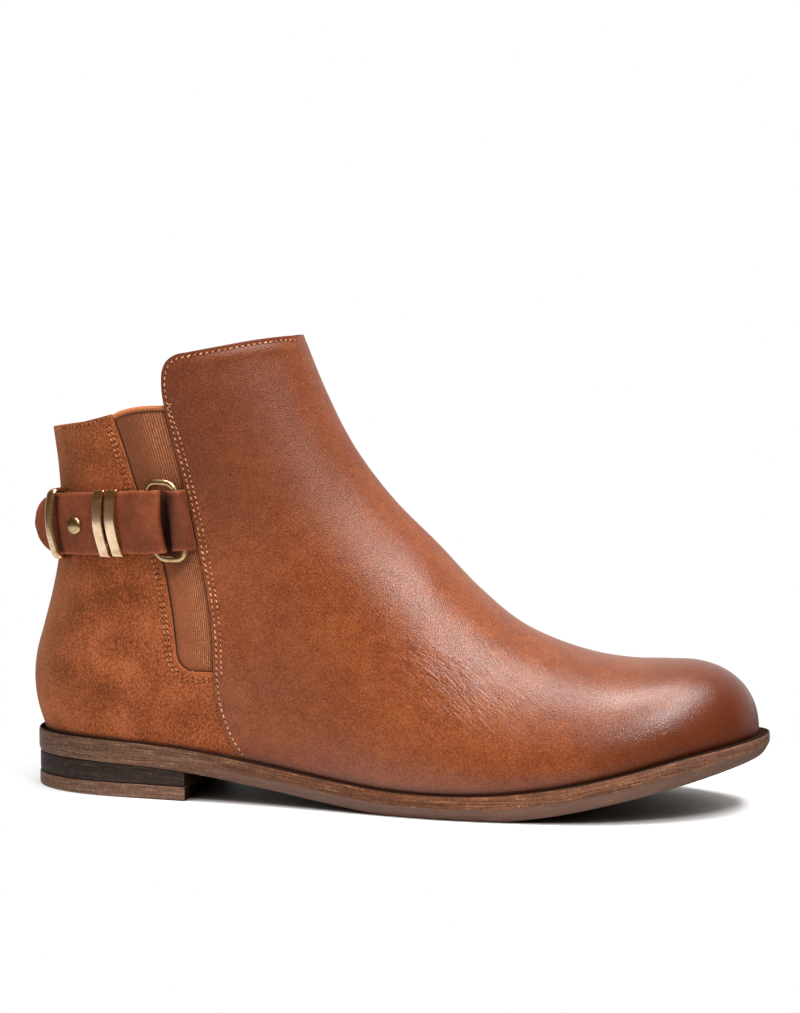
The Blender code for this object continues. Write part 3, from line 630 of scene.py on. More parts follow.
cutTones = ((0.35, (0.05, 0.016, 0.009)), (0.65, (0.13, 0.042, 0.02)))
cutEdge = speckled("cut_edge", 900.0, cutTones, Roughness=0.7)[0]
vampLeather = cognacLeather(vampPiece)
vampMesh = wrapGrid(vampPiece["girth"], vampPiece["sections"], vampPlace)[0]
sew(vampMesh)
moveOut(vampMesh, creaseHeights(shoePlaces(vampMesh)))
vampPlaces = shoePlaces(vampMesh)
aboveSole = vampPlaces[:, 2] - soleTop(vampPlaces[:, 0])
vampMarks = {
    "burnishAndShade": burnishAndShadeField(vampPlaces), "wrinkle": wrinkleField(vampPlaces), "along": vampPlaces[:, 0],
    "flow": flowHeight(vampPlaces), "polish": polishField(vampPlaces), "rough": roughField(vampPlaces),
    # painted shadow along the sole
    "soleShadow": np.exp(-(aboveSole / vampPiece["soleShadowTall"]) ** 2),
}
vamp = finishPiece(vampMesh, "vamp_leather", [vampLeather, cutEdge], "vamp", vampMarks)
thicken(vamp, vampPiece["wall"], -1.0, 1)
softenEdges(vamp, vampPiece["edgeRound"])
print("vamp done")

# Heel counter: orange-brown suede round the heel and under the gores
counterPiece = {
    "around": 180, "lowRows": 30, "arcRows": 16, "highRows": 64, "underColumns": 22, "level": -0.3,
    "wall": 1.2, "corner": 6.4, "rimGap": 0.15, "stripFront": 75.0, "edgeRound": 0.3,
    "lipWide": 1.1, "lipOut": 0.22, "lipMark": (0.62, 0.15), "lipHigh": 0.3, "lipLow": (60.0, 47.0),
    "joinShadeTall": 0.9, "shade": 0.35, "shadeTall": 2.0,
    "dark": (0.13, 0.0297, 0.0079), "base": (0.266, 0.0653, 0.0184), "light": (0.428, 0.126, 0.0465),
    "lip": (0.36, 0.093, 0.03), "joinShade": (0.03, 0.008, 0.003),
}
counterRows = sum(counterPiece[part] for part in ("lowRows", "arcRows", "highRows"))
stripTop = goreBottom - counterPiece["rimGap"]
# Brushed patches of the nap in side view, dark ones first
napPatches = {
    "x": (36.3, 30.8, 28.9, 37.5, 17.5, 21.2, 42.0, 52.1, 64.5, 46.0, 24.0, 53.9, 33.6, 9.0, 45.0),
    "z": (37.6, 31.4, 66.8, 69.3, 57.8, 44.5, 53.6, 31.4, 28.4, 71.5, 116.0, 59.8, 47.1, 27.5, 45.5),
    "radius": (5.5, 6.0, 6.0, 5.5, 6.0, 4.0, 4.5, 5.0, 5.0, 5.0, 9.0, 6.0, 5.0, 5.0, 5.0),
    "shade": (0.5, 0.4, 0.42, 0.5, 0.25, 0.3, 0.25, 0.32, 0.3, 0.4, 0.25, -0.35, -0.3, -0.3, -0.25),
}
cornerX = float(spline(goreEdge, "x", goreBottom + counterPiece["corner"])) + counterPiece["corner"]


def pocketLine(rows):  # the counter's front edge in side view: up to the gore's corner, round it and up
    p = counterPiece
    reach = p["corner"] + p["rimGap"]
    low, arc, high = p["lowRows"], p["arcRows"], p["highRows"]
    footZ = soleTop(cornerX) + footLevel
    lowZ = footZ + (stripTop - footZ) * np.clip(rows / low, 0, 1)
    turn = np.pi / 2 * np.clip((rows - low) / arc, 0, 1)
    startZ = goreBottom + p["corner"]
    highZ = startZ + (counterTop["front"] - startZ) * np.clip((rows - low - arc) / high, 0, 1)
    arcX, arcZ = cornerX - reach * np.sin(turn), startZ - reach * np.cos(turn)
    x = np.where(rows <= low + arc, arcX, spline(goreEdge, "x", highZ) - p["rimGap"])
    return np.column_stack((x, np.where(rows <= low, lowZ, np.where(rows <= low + arc, arcZ, highZ))))


def roundHeel(across, share, top, front, feet, sagTop=0.0):  # from the lateral front edge to the medial one
    w = 1 - np.cos(np.pi / 2 * np.abs(2 * across - 1))
    low = soleTop(feather["heel"]) + footLevel
    backZ = low + (top - low) * share
    x = (1 - w) * spline(heelBack, "x", backZ) + w * front[:, 0]
    footX = (1 - w) * spline(heelBack, "x", low) + w * feet[0]
    sag = soleTop(footX) + footLevel - ((1 - w) * low + w * feet[1])
    z = (1 - w) * backZ + w * front[:, 1] + sag * (1 - share) ** 4
    z -= sagTop * np.sin(np.pi * w) * share ** 6
    y = np.where(np.abs(across - 0.5) < tiny, 0.0, aroundY(across, x, z))
    return np.column_stack((x, y, z))


def counterPlace(across, up):
    front, feet = pocketLine(up * counterRows), pocketLine(np.zeros(1))[0]
    share = (front[:, 1] - feet[1]) / (counterTop["front"] - feet[1])
    return roundHeel(across, share, counterTop["back"], front, feet, counterTop["sag"])


def underGore(side):  # the counter's strip below the gore, forward to the vamp
    def place(across, up):
        x = np.full(len(across), cornerX)
        for k in range(3):
            z = soleTop(x) + footLevel + (stripTop - soleTop(x) - footLevel) * up
            x = cornerX + (spline(vampEdge, "x", z) - counterPiece["rimGap"] - cornerX) * across
        return np.column_stack((x, upperY(x, z, side), z))
    return place


pocket = np.vstack((
    np.column_stack((np.linspace(counterPiece["stripFront"], cornerX + 0.5, 16), np.full(16, stripTop))),
    pocketLine(np.linspace(counterPiece["lowRows"], counterRows, 200)),
))


def suedeNap(piece):
    made, tree, shader = newMaterial("tan_suede", Roughness=0.92, Sheen_Weight=0.3, Sheen_Roughness=0.45,
                                     Specular_IOR_Level=0.15, Sheen_Tint=(1.0, 0.6, 0.36, 1.0))
    place = objectPlace(tree)
    brushed = noiseAt(tree, stretched(tree, place, (1.0, 1.0, 0.8), (0.0, 0.5, 0.0)), 60.0, 3.0, 0.55, 0.8)
    nap = noiseAt(tree, stretched(tree, place, (1.0, 1.0, 0.55), (0.0, 0.6, 0.0)), 2300.0, 2.0, 0.75)
    tone = weighted(tree, (brushed, 0.25), (nap, 0.75), (mark(tree, "brush"), -0.17))
    colour = ramp(tree, tone, ((0.385, piece["dark"]), (0.615, piece["light"]), (0.5, piece["base"])))
    # painted shade along the join with the sole
    colour = mixed(tree, mark(tree, "shade"), colour, piece["joinShade"])
    normal = bumpOn(tree, brushed, 0.3, 0.8)
    wire(tree, shader, Base_Color=mixed(tree, mark(tree, "lip"), colour, piece["lip"]),
         Normal=bumpOn(tree, nap, 0.75, 0.35, normal))
    return made


def brushField(places):
    x, y, z = places.T
    field = np.zeros(len(x))
    for spotX, spotZ, radius, shade in zip(*napPatches.values()):
        field += shade * np.exp(-((x - spotX) ** 2 + (z - spotZ) ** 2) / radius ** 2)
    return field


counterMesh = wrapGrid(counterPiece["around"], counterRows, counterPlace)[0]
for side in outSign:
    wrapGrid(counterPiece["underColumns"], counterPiece["lowRows"], underGore(side), counterMesh)
sew(counterMesh)
counterPlaces = shoePlaces(counterMesh)
fromPocket = distanceTo(counterPlaces[:, 0], counterPlaces[:, 2], evenly(pocket, 260), 260)[0]
lip = smoothStep(counterPiece["lipWide"], 0.0, fromPocket)
low = smoothStep(*counterPiece["lipLow"], counterPlaces[:, 2])
moveOut(counterMesh, counterPiece["level"] + counterPiece["lipOut"] * lip * low)
# Painted shade: darker towards the sole, a dark line at the join and a softer band above it
aboveSole = np.maximum(counterPlaces[:, 2] - soleTop(counterPlaces[:, 0]), 0)
joinShadeLine = np.exp(-(aboveSole / counterPiece["joinShadeTall"]) ** 2)
softShade = np.exp(-aboveSole / counterPiece["shadeTall"]) * counterPiece["shade"]
paleLip = smoothStep(*counterPiece["lipMark"], fromPocket)
suede = suedeNap(counterPiece)
counterMarks = {
    "shade": np.maximum(joinShadeLine, softShade), "brush": brushField(counterPlaces),
    "lip": paleLip * (counterPiece["lipHigh"] + (1 - counterPiece["lipHigh"]) * low),
}
counter = finishPiece(counterMesh, "heel_suede", [suede, suede], "heel_counter", counterMarks)
thicken(counter, counterPiece["wall"], -1.0, 1)
softenEdges(counter, counterPiece["edgeRound"])
print("counter done")

# Gores: ribbed elastic between counter and vamp, with a bound top edge
gorePiece = {
    "columns": 168, "rows": 96, "level": -0.95, "wall": 0.7, "rimGap": 0.12,
    "ribs": 19, "ribDepth": 0.1, "rearRib": 0.25, "ribFrom": (0.3, 0.7),
    "bandTall": 1.7, "bandOut": 0.38, "bandSoft": 0.25, "groove": 0.25, "grooveTall": 0.3,
    "base": (0.39, 0.125, 0.053), "dark": (0.11, 0.032, 0.0125), "band": (0.5, 0.165, 0.06),
    "glint": (0.62, 0.3, 0.16), "shadow": (0.018, 0.006, 0.003),
}
# Painted shade along the panel's edges, near the strap and in the gap at the ring
goreZones = {
    "rearReach": 0.6, "front": 0.8, "frontReach": 0.5, "low": 0.7, "lowReach": 0.7,
    "strap": 0.62, "strapZ": 97, "strapTall": 14,
    "high": 0.38, "highAcross": (0.75, 0.15), "highZ": (96, 108),
    "ring": 0.97, "ringX": 60, "ringLong": 4, "ringZ": 95, "ringTall": 11.5,
}


def goreSide(across, up):
    trim, r = gorePiece["rimGap"], counterPiece["corner"]
    low = goreBottom + trim
    top = spline(goreTop, "z", goreTop["x"][0] + (goreTop["x"][-1] - goreTop["x"][0]) * across)
    z = low + (top - low) * up
    inCorner = np.clip(1 - (z - goreBottom) / r, 0, 1)
    rear = spline(goreEdge, "x", z) + trim + r * (1 - np.sqrt(1 - inCorner ** 2))
    front = spline(vampEdge, "x", z) - trim
    return np.column_stack((rear + (front - rear) * across, z)), top


def ribShare(x, z):
    rear, front = spline(goreEdge, "x", z), spline(vampEdge, "x", z)
    return (x - rear) / (front - rear)


def elasticRib(piece):
    made, tree, shader = newMaterial("brown_elastic", Roughness=0.85, Specular_IOR_Level=0.15)
    place = objectPlace(tree)
    ribShading = mark(tree, "ribShading")
    sockets = {"Vector": stretched(tree, place, (0.0, 0.0, 1.0)), "Scale": 760.0, "Distortion": 5.0}
    sockets.update({"Detail": 1.0, "Detail Scale": 3.0})
    thread = add(tree, "TexWave", sockets, bands_direction="Z").outputs["Fac"]
    fuzz = noiseAt(tree, place, 1250.0, 2.0, 0.7)
    patchy = noiseAt(tree, place, 60.0, 3.0, 0.6)
    tone = weighted(tree, (ribShading, 0.35), (thread, 0.05), (patchy, 0.2), (fuzz, 0.45))
    colour = ramp(tree, tone, ((0.22, piece["dark"]), (0.8, piece["base"])))
    # painted highlight: a glint on the ribs
    glint = times(tree, ranged(tree, ribShading, 0.72, 0.95), ranged(tree, fuzz, 0.42, 0.64, 0.05, 0.7))
    colour = mixed(tree, glint, colour, piece["glint"])
    colour = mixed(tree, mark(tree, "shade"), colour, piece["shadow"])
    colour = mixed(tree, mark(tree, "band"), colour, mixed(tree, fuzz, piece["band"], piece["base"]))
    weave = weighted(tree, (thread, 0.4), (fuzz, 1.0))
    wire(tree, shader, Base_Color=colour, Normal=bumpOn(tree, weave, 0.4, 0.16))
    return made


def goreShade(shares):
    across, up = shares.T
    g = goreZones
    x, z = goreSide(across, up)[0].T
    rear, front = goreSide(0 * across, up)[0][:, 0], goreSide(0 * across + 1, up)[0][:, 0]
    edge = g["front"] * np.exp(-(front - x) / g["frontReach"])
    edge = np.maximum(np.exp(-(x - rear) / g["rearReach"]), edge)
    low = g["low"] * np.exp(-(z - goreBottom) / g["lowReach"])
    strap = g["strap"] * np.exp(-((z - g["strapZ"]) / g["strapTall"]) ** 2)
    high = g["high"] * smoothStep(*g["highAcross"], across) * smoothStep(*g["highZ"], z)
    ringGap = np.exp(-((x - g["ringX"]) / g["ringLong"]) ** 4)
    ringGap *= np.exp(-((z - g["ringZ"]) / g["ringTall"]) ** 8) * g["ring"]
    return np.maximum.reduce((edge, low, strap, high, ringGap))


def gorePlace(side):
    def place(across, up):
        x, z = goreSide(across, up)[0].T
        return np.column_stack((x, upperY(x, z, side), z))
    return place


elastic = elasticRib(gorePiece)
for side in outSign:
    g = gorePiece
    goreMesh, goreShares = wrapGrid(g["columns"], g["rows"], gorePlace(side))
    faceOut(goreMesh)
    gorePlaces = shoePlaces(goreMesh)
    fromTop = goreSide(goreShares[:, 0], goreShares[:, 1])[1] - gorePlaces[:, 2]
    band = smoothStep(g["bandTall"] + g["bandSoft"], g["bandTall"] - g["bandSoft"], fromTop)
    ribWave = 0.5 + 0.5 * np.cos(2 * np.pi * g["ribs"] * ribShare(gorePlaces[:, 0], gorePlaces[:, 2]))
    bandRound = np.sqrt(np.clip(1 - (2 * fromTop / g["bandTall"] - 1) ** 2, 0, 1))
    groove = np.exp(-((fromTop - g["bandTall"] - g["grooveTall"]) / g["grooveTall"]) ** 2)
    heights = g["level"] + g["ribDepth"] * ribWave * (1 - band) - g["groove"] * groove
    moveOut(goreMesh, heights + g["bandOut"] * bandRound * band)
    # the ribs' stripes carry painted light and shade, faint near the rear edge and full on the front part
    contrast = g["rearRib"] + (1 - g["rearRib"]) * smoothStep(*g["ribFrom"], goreShares[:, 0])
    shade = np.maximum(goreShade(goreShares), groove)
    marks = {"ribShading": 0.5 + (ribWave - 0.5) * contrast, "band": band, "shade": shade}
    gore = finishPiece(goreMesh, "gore_elastic_" + side, [elastic], "gore_" + side, marks)
    thicken(gore, gorePiece["wall"], -1.0)
print("gores done")

# Lining: one tan shell inside the leather
liningPiece = {
    "columns": 128, "rows": 72, "level": -1.8, "wall": 1.2, "below": 0.5, "drop": 1.2, "dropReach": 6.0,
    "base": (0.4, 0.25, 0.145), "dark": (0.27, 0.155, 0.085),
}


def rearLiningPlace(across, up):
    low, below = soleTop(footEnd) + footLevel, liningPiece["below"]
    z = low + (goreTop["z"][-1] - below - low) * up
    front = np.column_stack((spline(vampEdge, "x", z), z))
    return roundHeel(across, up, counterTop["back"] - below, front, (spline(vampEdge, "x", low), low))


def liningCloth(piece):
    made, tree, shader = newMaterial("tan_lining", Roughness=0.82, Sheen_Weight=0.2)
    place = objectPlace(tree)
    weave = noiseAt(tree, place, 1300.0, 2.0, 0.6)
    tone = weighted(tree, (noiseAt(tree, place, 40.0, 3.0), 0.6), (weave, 0.4))
    wire(tree, shader, Base_Color=ramp(tree, tone, ((0.35, piece["dark"]), (0.65, piece["base"]))),
         Normal=bumpOn(tree, weave, 0.35, 0.2))
    return made


lining = liningCloth(liningPiece)
liningMesh = wrapGrid(liningPiece["columns"], liningPiece["rows"], vampPlace)[0]
wrapGrid(liningPiece["columns"], liningPiece["rows"], rearLiningPlace, liningMesh)
sew(liningMesh)
moveOut(liningMesh, np.full(len(liningMesh.verts), liningPiece["level"]))
for v in liningMesh.verts:
    if v.co.z > collarFrom:
        near = smoothStep(liningPiece["dropReach"], 0.0, belowCollar(v.co.x, v.co.z))
        v.co.z -= liningPiece["drop"] * float(near)
upperLining = finishPiece(liningMesh, "lining_shell", [lining], "upper")
thicken(upperLining, liningPiece["wall"], -1.0)
print("lining done")

# Sole, heel and insole: plates lofted from their edge down, streaked like stacked leather
slabPiece = {
    "heelInset": (0.8, 0.35, 0.1, 0.0, 0.0, 0.0, 0.0, 0.0, 0.15, 0.5),
    "frontInset": (0.75, 0.3, 0.08, 0.0, 0.0, 0.1, 0.55, 1.05, 1.7, 2.5),
    "depth": (0.0, 0.03, 0.09, 0.18, 0.5, 0.55, 0.66, 0.78, 0.92, 1.0),
    "tones": ((0.08, 0.0395, 0.0245), (0.187, 0.096, 0.06), (0.33, 0.184, 0.118)),
    "streak": 0.8, "rough": 0.52,
    # Greyer at the heel, redder at the arch, lighter at the toe, where the lighter stretch is partly painted
    # light
    "tint": ((0.0, (0.62, 0.59, 0.55)), (0.95, (0.52, 0.44, 0.42)), (0.24, (0.62, 0.58, 0.53)),
             (0.36, (0.55, 0.4, 0.3)), (0.5, (0.58, 0.38, 0.26)), (0.66, (0.72, 0.52, 0.4)),
             (0.8, (0.78, 0.62, 0.53))),
}
blockPiece = {
    "heelInset": (0.9, 0.5, 0.4, 0.4, 0.5, 0.9), "depth": (0, 0.05, 0.15, 0.85, 0.95, 1),
    "tones": ((0.014, 0.008, 0.006), (0.026, 0.016, 0.0125), (0.05, 0.031, 0.025)),
    "streak": 0.1, "rough": 0.6,
}
liftPiece = {
    "heelInset": (0.8, 0.35, 0.2, 0.2, 0.4, 1.0), "depth": (0, 0.05, 0.14, 0.86, 0.95, 1),
    "tones": ((0.062, 0.031, 0.019), (0.14, 0.071, 0.044), (0.235, 0.13, 0.085)),
    "streak": 0.6, "rough": 0.58,
}
insolePiece = {
    "heelInset": (0.4, 0.1, 0.0), "depth": (0.0, 0.1, 1.0),
    "heel": 8.4, "toe": 254.4, "side": 5.6, "thick": 2.0,
}
stackLook = {
    "fleck": (0.5, 0.39, 0.28), "bevel": (0.106, 0.064, 0.049), "joinShade": (0.009, 0.005, 0.0035),
    "tintLong": 300, "bevelFrom": (75.0, 110.0),
}
heelForm = {"breast": 65.0, "liftTop": 5.0, "play": 0.05}
edgeChange = (60.0, 110.0)
plateStations = 84
plateSmooth = 0.6


def insoleHalf(x, side, inset, heel, front):
    return outlineHalf(x, side, insolePiece["side"] + inset, heel, front)


def plateMesh(form, ends, square, half, top, bottom):
    turn = np.pi / 2 if square else np.pi
    spacing = (1 - np.cos(turn * np.arange(plateStations + 1) / plateStations)) / (1 - math.cos(turn))
    last = plateStations + 1 if square else plateStations

    def ring(heelInset, frontInset, depth, spread):
        heel, front = ends[0] + heelInset, ends[1] - frontInset
        x = heel + (front - heel) * spacing
        inset = heelInset + (frontInset - heelInset) * smoothStep(*edgeChange, x)
        z = top(x) + (bottom(x) - top(x)) * depth
        lateral = np.column_stack((x, -half(x, "lateral", inset, heel, front) * spread, z))
        medial = np.column_stack((x, half(x, "medial", inset, heel, front) * spread, z))
        return np.vstack((lateral, medial[1:last][::-1]))

    levels = list(zip(form["heelInset"], form.get("frontInset", form["heelInset"]), form["depth"]))
    inward = (0.94, 0.8, 0.6, 0.4, 0.2, 0.0)
    down = [ring(*level, 1.0) for level in levels] + [ring(*levels[-1], spread) for spread in inward]
    up = [ring(*levels[0], spread) for spread in (1.0, *inward)]
    away = lengths(down[3])
    run = np.minimum(away, away[-1] + away[1] - away)  # from the heel's end along either side
    depths = [level[2] for level in levels] + [1.2] * len(inward)
    bm = bmesh.new()
    first = loft(bm, down, (run, depths))[0]
    drawOut(bm, *first, up, (run, [0.0] + [-0.2] * len(inward)))
    weld(bm, 0.002)
    return bm


def stackedSole(name, piece):
    made, tree, shader = newMaterial(name, Specular_IOR_Level=0.14)
    look, rough = stackLook, piece["rough"]
    run, depth = mark(tree, "run"), mark(tree, "depth")
    along = add(tree, "CombineXYZ", {"X": run, "Y": depth}).outputs["Vector"]
    fine = noiseAt(tree, stretched(tree, along, (0.09, 18.0, 1.0)), 1.0, 3.0, 0.65, 0.3)
    broad = noiseAt(tree, stretched(tree, along, (0.03, 3.5, 1.0)), 1.0, 3.0, 0.6, 0.4)
    speck = noiseAt(tree, objectPlace(tree), 900.0, 3.0, 0.7)
    tone = weighted(tree, (fine, 0.45), (broad, 0.3), (speck, 0.25))
    dark, base, light = piece["tones"]
    colour = ramp(tree, tone, ((0.38, dark), (0.62, light), (0.5, base)))
    fleck = times(tree, ranged(tree, fine, 0.56, 0.66), ranged(tree, speck, 0.48, 0.6))
    colour = mixed(tree, times(tree, fleck, piece["streak"]), colour, look["fleck"])
    if "tint" in piece:  # with a dark smooth bevel below the front
        tint = ramp(tree, times(tree, run, 1 / look["tintLong"]), piece["tint"])
        colour = mixed(tree, 1.0, colour, tint, "MULTIPLY")
        front = ranged(tree, run, *look["bevelFrom"])
        bevel = times(tree, ranged(tree, depth, 0.5, 0.53, 0.0, 0.7), front)
        colour = mixed(tree, bevel, colour, look["bevel"])
    # painted shade: a dark line along the top of the edge, where the upper sits
    joinShade = ranged(tree, depth, 0.0, 0.035, 0.85, 0.0)
    height = weighted(tree, (fine, 1.0), (speck, 0.5))
    wire(tree, shader, Base_Color=mixed(tree, joinShade, colour, look["joinShade"]),
         Normal=bumpOn(tree, height, 0.4, 0.22),
         Roughness=ranged(tree, tone, 0.3, 0.7, rough + 0.08, rough - 0.06))
    return made


def shadeFaces(bm, facing):  # the faces that look one way get the second material, a flat painted shade
    bm.normal_update()
    for face in bm.faces:
        if face.normal.dot(Vector(facing)) > 0.8:
            face.material_index = 1


slabStack = stackedSole("stacked_brown", slabPiece)
blockStack = stackedSole("stacked_dark", blockPiece)
liftStack = stackedSole("stacked_lift", liftPiece)
# painted shade: a flat dark brown without gloss for the slab's top and the heels' front faces
shadeTone = (0.02, 0.011, 0.0075, 1.0)
soleShade = newMaterial("sole_shade", Base_Color=shadeTone, Roughness=0.95, Specular_IOR_Level=0.0)[0]


def stackPiece(bm, shadedFacing, stack, name, node):
    shadeFaces(bm, shadedFacing)
    finishPiece(bm, name, [stack, soleShade], node, smooth=plateSmooth)


def liftTop(x):
    return heelForm["liftTop"] + 0 * x


soleSpan, heelSpan = (soleEnds["heel"], soleEnds["toe"]), (soleEnds["heel"], heelForm["breast"])
slabMesh = plateMesh(slabPiece, soleSpan, False, outlineHalf, soleTop, soleBottom)
stackPiece(slabMesh, (0, 0, 1), slabStack, "outsole_slab", "outsole")
blockMesh = plateMesh(blockPiece, heelSpan, True, heelHalf, lambda x: soleBottom(x) - heelForm["play"],
                      lambda x: liftTop(x) + heelForm["play"])
stackPiece(blockMesh, (1, 0, 0), blockStack, "heel_block_stack", "heel_block")
liftMesh = plateMesh(liftPiece, heelSpan, True, heelHalf, liftTop, lambda x: 0 * x)
stackPiece(liftMesh, (1, 0, 0), liftStack, "heel_lift_stack", "heel_lift")
insoleSpan = (insolePiece["heel"], insolePiece["toe"])
insoleMesh = plateMesh(insolePiece, insoleSpan, False, insoleHalf,
                       lambda x: soleTop(x) + gap + insolePiece["thick"], lambda x: soleTop(x) + gap)
finishPiece(insoleMesh, "insole_sock", [lining], "insole", smooth=plateSmooth)
print("sole done")

# Strap: leather round the heel, doubled back through the ring, and the tab that holds the ring
strapPiece = {
    "z": 95.2, "rise": 0.06, "riseFrom": 29.4, "lean": 0.1, "bow": 0.011, "thick": 1.3, "half": 10.7,
    "endHalf": 10.2, "inner": 1.4, "outer": 3.0, "medialEnd": 66.0, "peelX": 31.0, "end": 23.4, "tip": 9.0,
    "blunt": 0.06, "foldX": 54.9, "foldBack": 3.0, "doubled": (43.6, 52.6), "freeFrom": 0.6,
    "columns": 340, "rows": 18, "edgeRound": 0.25, "edgeFrom": 0.93, "endLight": 0.22, "loopShade": (0.4, 0.9),
    "dark": (0.11, 0.0232, 0.0074), "base": (0.19, 0.0433, 0.0142), "light": (0.274, 0.0697, 0.0243),
    "raw": (0.36, 0.085, 0.022), "rawDark": (0.15, 0.042, 0.02), "shade": (0.03, 0.006, 0.003),
}
ringPiece = {
    "x": 59.3, "offset": 3.45, "wire": 1.2, "lean": 0.16, "halfLong": 5.9, "halfTall": 13.1, "square": 3.6,
    "steps": 96,
}
loopPiece = {"along": 15.0, "wire": 0.9, "wide": 1.7, "corner": 2.0, "seat": 1.0, "crown": 0.8}


def heelLine(x, side, offset):
    x = np.atleast_1d(np.asarray(x, float))
    step, z = 0.05, strapPiece["z"]
    behind = np.maximum(x - step, spline(heelBack, "x", z))
    rise = upperY(x + step, z, side) - upperY(behind, z, side)
    out = unit(np.column_stack((-rise, x + step - behind)) * outSign[side])
    return np.column_stack((x, upperY(x, z, side))) + out * np.reshape(offset, (-1, 1)), out


def besideHeel(x, offset):  # a place on the lateral side, the way out of it and the way back to the heel
    points, out = heelLine(x, "lateral", offset)
    return points[0], out[0], np.array([out[0][1], -out[0][0]])


def strapHeight(x):
    return strapPiece["z"] + strapPiece["rise"] * (x - strapPiece["riseFrom"])


def slide(up, lean, bow):
    return lean * up - bow * up * up


def leaned(place, backward, z, up):
    return np.array((*(place + backward * slide(up, strapPiece["lean"], strapPiece["bow"])), z + up))


def foldRound(x, radius, forward):
    angles = np.linspace(-np.pi / 2, np.pi / 2, 13)
    return [(x + radius * math.cos(a) * forward, ringPiece["offset"] + radius * math.sin(a)) for a in angles]


def strapRun():  # the strap's path in plan, its half height and the way its edges lean, at each place
    p = strapPiece
    back = float(spline(heelBack, "x", p["z"]))
    turn = 1 - np.cos(np.linspace(0, np.pi / 2, 14))
    around = back + (p["medialEnd"] - back) * turn[:0:-1]
    path = [*heelLine(around, "medial", p["inner"])[0], np.array([back - p["inner"], 0.0])]
    ways = [np.zeros(2)] * len(path)
    bend = foldRound(p["foldX"], ringPiece["offset"] - p["inner"], 1)[1:]
    lift = bend[-1][1] - p["outer"]
    pairs = [(back + (p["foldX"] - back) * t, p["inner"]) for t in turn[1:]] + bend
    under = np.linspace(p["foldX"] - p["foldBack"], p["peelX"], 12)
    pairs += [(x, p["outer"] + lift * float(smoothStep(*p["doubled"], x))) for x in under]
    for x, offset in pairs:
        place, out, backward = besideHeel(x, offset)
        path.append(place)
        ways.append(backward * abs(backward[0]))
    halves = [p["half"]] * len(path)
    start = path[-1]
    tipShares = 1 - 0.4 * np.cos(np.linspace(0.15, np.pi / 2, 14))
    for share in np.concatenate((np.linspace(0.1, 0.6, 5), tipShares)):
        taper = p["half"] + (p["endHalf"] - p["half"]) * share
        roundOff = max((share - 1) * p["end"] / p["tip"] + 1, 0.0)
        path.append(start + backward * p["end"] * share)
        halves.append(taper * max(math.sqrt(max(1 - roundOff ** 2, 0.0)), p["blunt"]))
        ways.append(ways[-1])
    return np.array(path), np.array(halves), np.array(ways)


def ribbonMesh(path, halves, ways, leans, bow, columns, rows):
    steps = lengths(path)
    table = {"along": steps, "x": path[:, 0], "y": path[:, 1]}
    known = np.interp(np.linspace(0, 1, columns + 1), np.linspace(0, 1, len(steps)), steps)

    def place(across, up):
        at = np.interp(across, np.linspace(0, 1, columns + 1), known)
        x, y = spline(table, "x", at), spline(table, "y", at)
        rise = np.interp(at, steps, halves) * (2 * up - 1)
        shift = slide(rise, np.interp(at, steps, leans), bow)
        way = readLine(ways, steps, at)
        return np.column_stack((x + way[:, 0] * shift, y + way[:, 1] * shift, strapHeight(x) + rise))

    return wrapGrid(columns, rows, place)


def strapLeather(piece):
    made, tree, shader = newMaterial("strap_leather", Coat_Weight=0.04, Coat_Roughness=0.4,
                                     Specular_IOR_Level=0.25)
    place = objectPlace(tree)
    broad, patch = noiseAt(tree, place, 55.0, 4.0, 0.6), noiseAt(tree, place, 420.0, 3.0, 0.65)
    grain = noiseAt(tree, place, 1500.0, 3.0, 0.6)
    tone = weighted(tree, (broad, 0.5), (patch, 0.25), (grain, 0.25))
    colour = ramp(tree, tone, ((0.36, piece["dark"]), (0.64, piece["light"]), (0.5, piece["base"])))
    colour = mixed(tree, mark(tree, "shade"), colour, piece["shade"])
    # the edge mark brings in the paler raw colour, at the cut edges and as a painted highlight on the strap's
    # free end
    edge = times(tree, mark(tree, "edge"), ranged(tree, patch, 0.35, 0.6, 0.25, 1.0))
    wire(tree, shader, Base_Color=mixed(tree, edge, colour, piece["raw"]),
         Normal=bumpOn(tree, grain, 0.35, 0.16), Roughness=ranged(tree, patch, 0.3, 0.7, 0.44, 0.58))
    return made


def edgeMark(shares, start):  # the paler cut along both edges of a ribbon
    return np.clip((np.abs(2 * shares[:, 1] - 1) - start) / (1 - start), 0, 1)


rawTones = ((0.35, strapPiece["rawDark"]), (0.66, strapPiece["raw"]))
rawEdge, rawTree, rawShader = speckled("raw_edge", 1200.0, rawTones, Roughness=0.88, Sheen_Weight=0.2)
fibres = noiseAt(rawTree, objectPlace(rawTree), 2000.0)
wire(rawTree, rawShader, Normal=bumpOn(rawTree, fibres, 0.6, 0.25))

strapHide = strapLeather(strapPiece)
runPath, runHalves, runWays = strapRun()
strapLeans = np.full(len(runPath), strapPiece["lean"])
strapMesh, strapShares = ribbonMesh(runPath, runHalves, runWays, strapLeans, strapPiece["bow"],
                                    strapPiece["columns"], strapPiece["rows"])
strapPlaces = shoePlaces(strapMesh)
peelStart, peelBack = besideHeel(strapPiece["peelX"], strapPiece["outer"])[::2]
freeRun = (strapPlaces[:, :2] - peelStart) @ peelBack
peelUp = strapPlaces[:, 2] - strapHeight(peelStart[0])
freeRun -= slide(peelUp, strapPiece["lean"], strapPiece["bow"])
freePart = strapShares[:, 0] > strapPiece["freeFrom"]
aside, soft = strapPiece["loopShade"]
fromLoop = freeRun - (loopPiece["along"] - loopPiece["wide"] - aside)
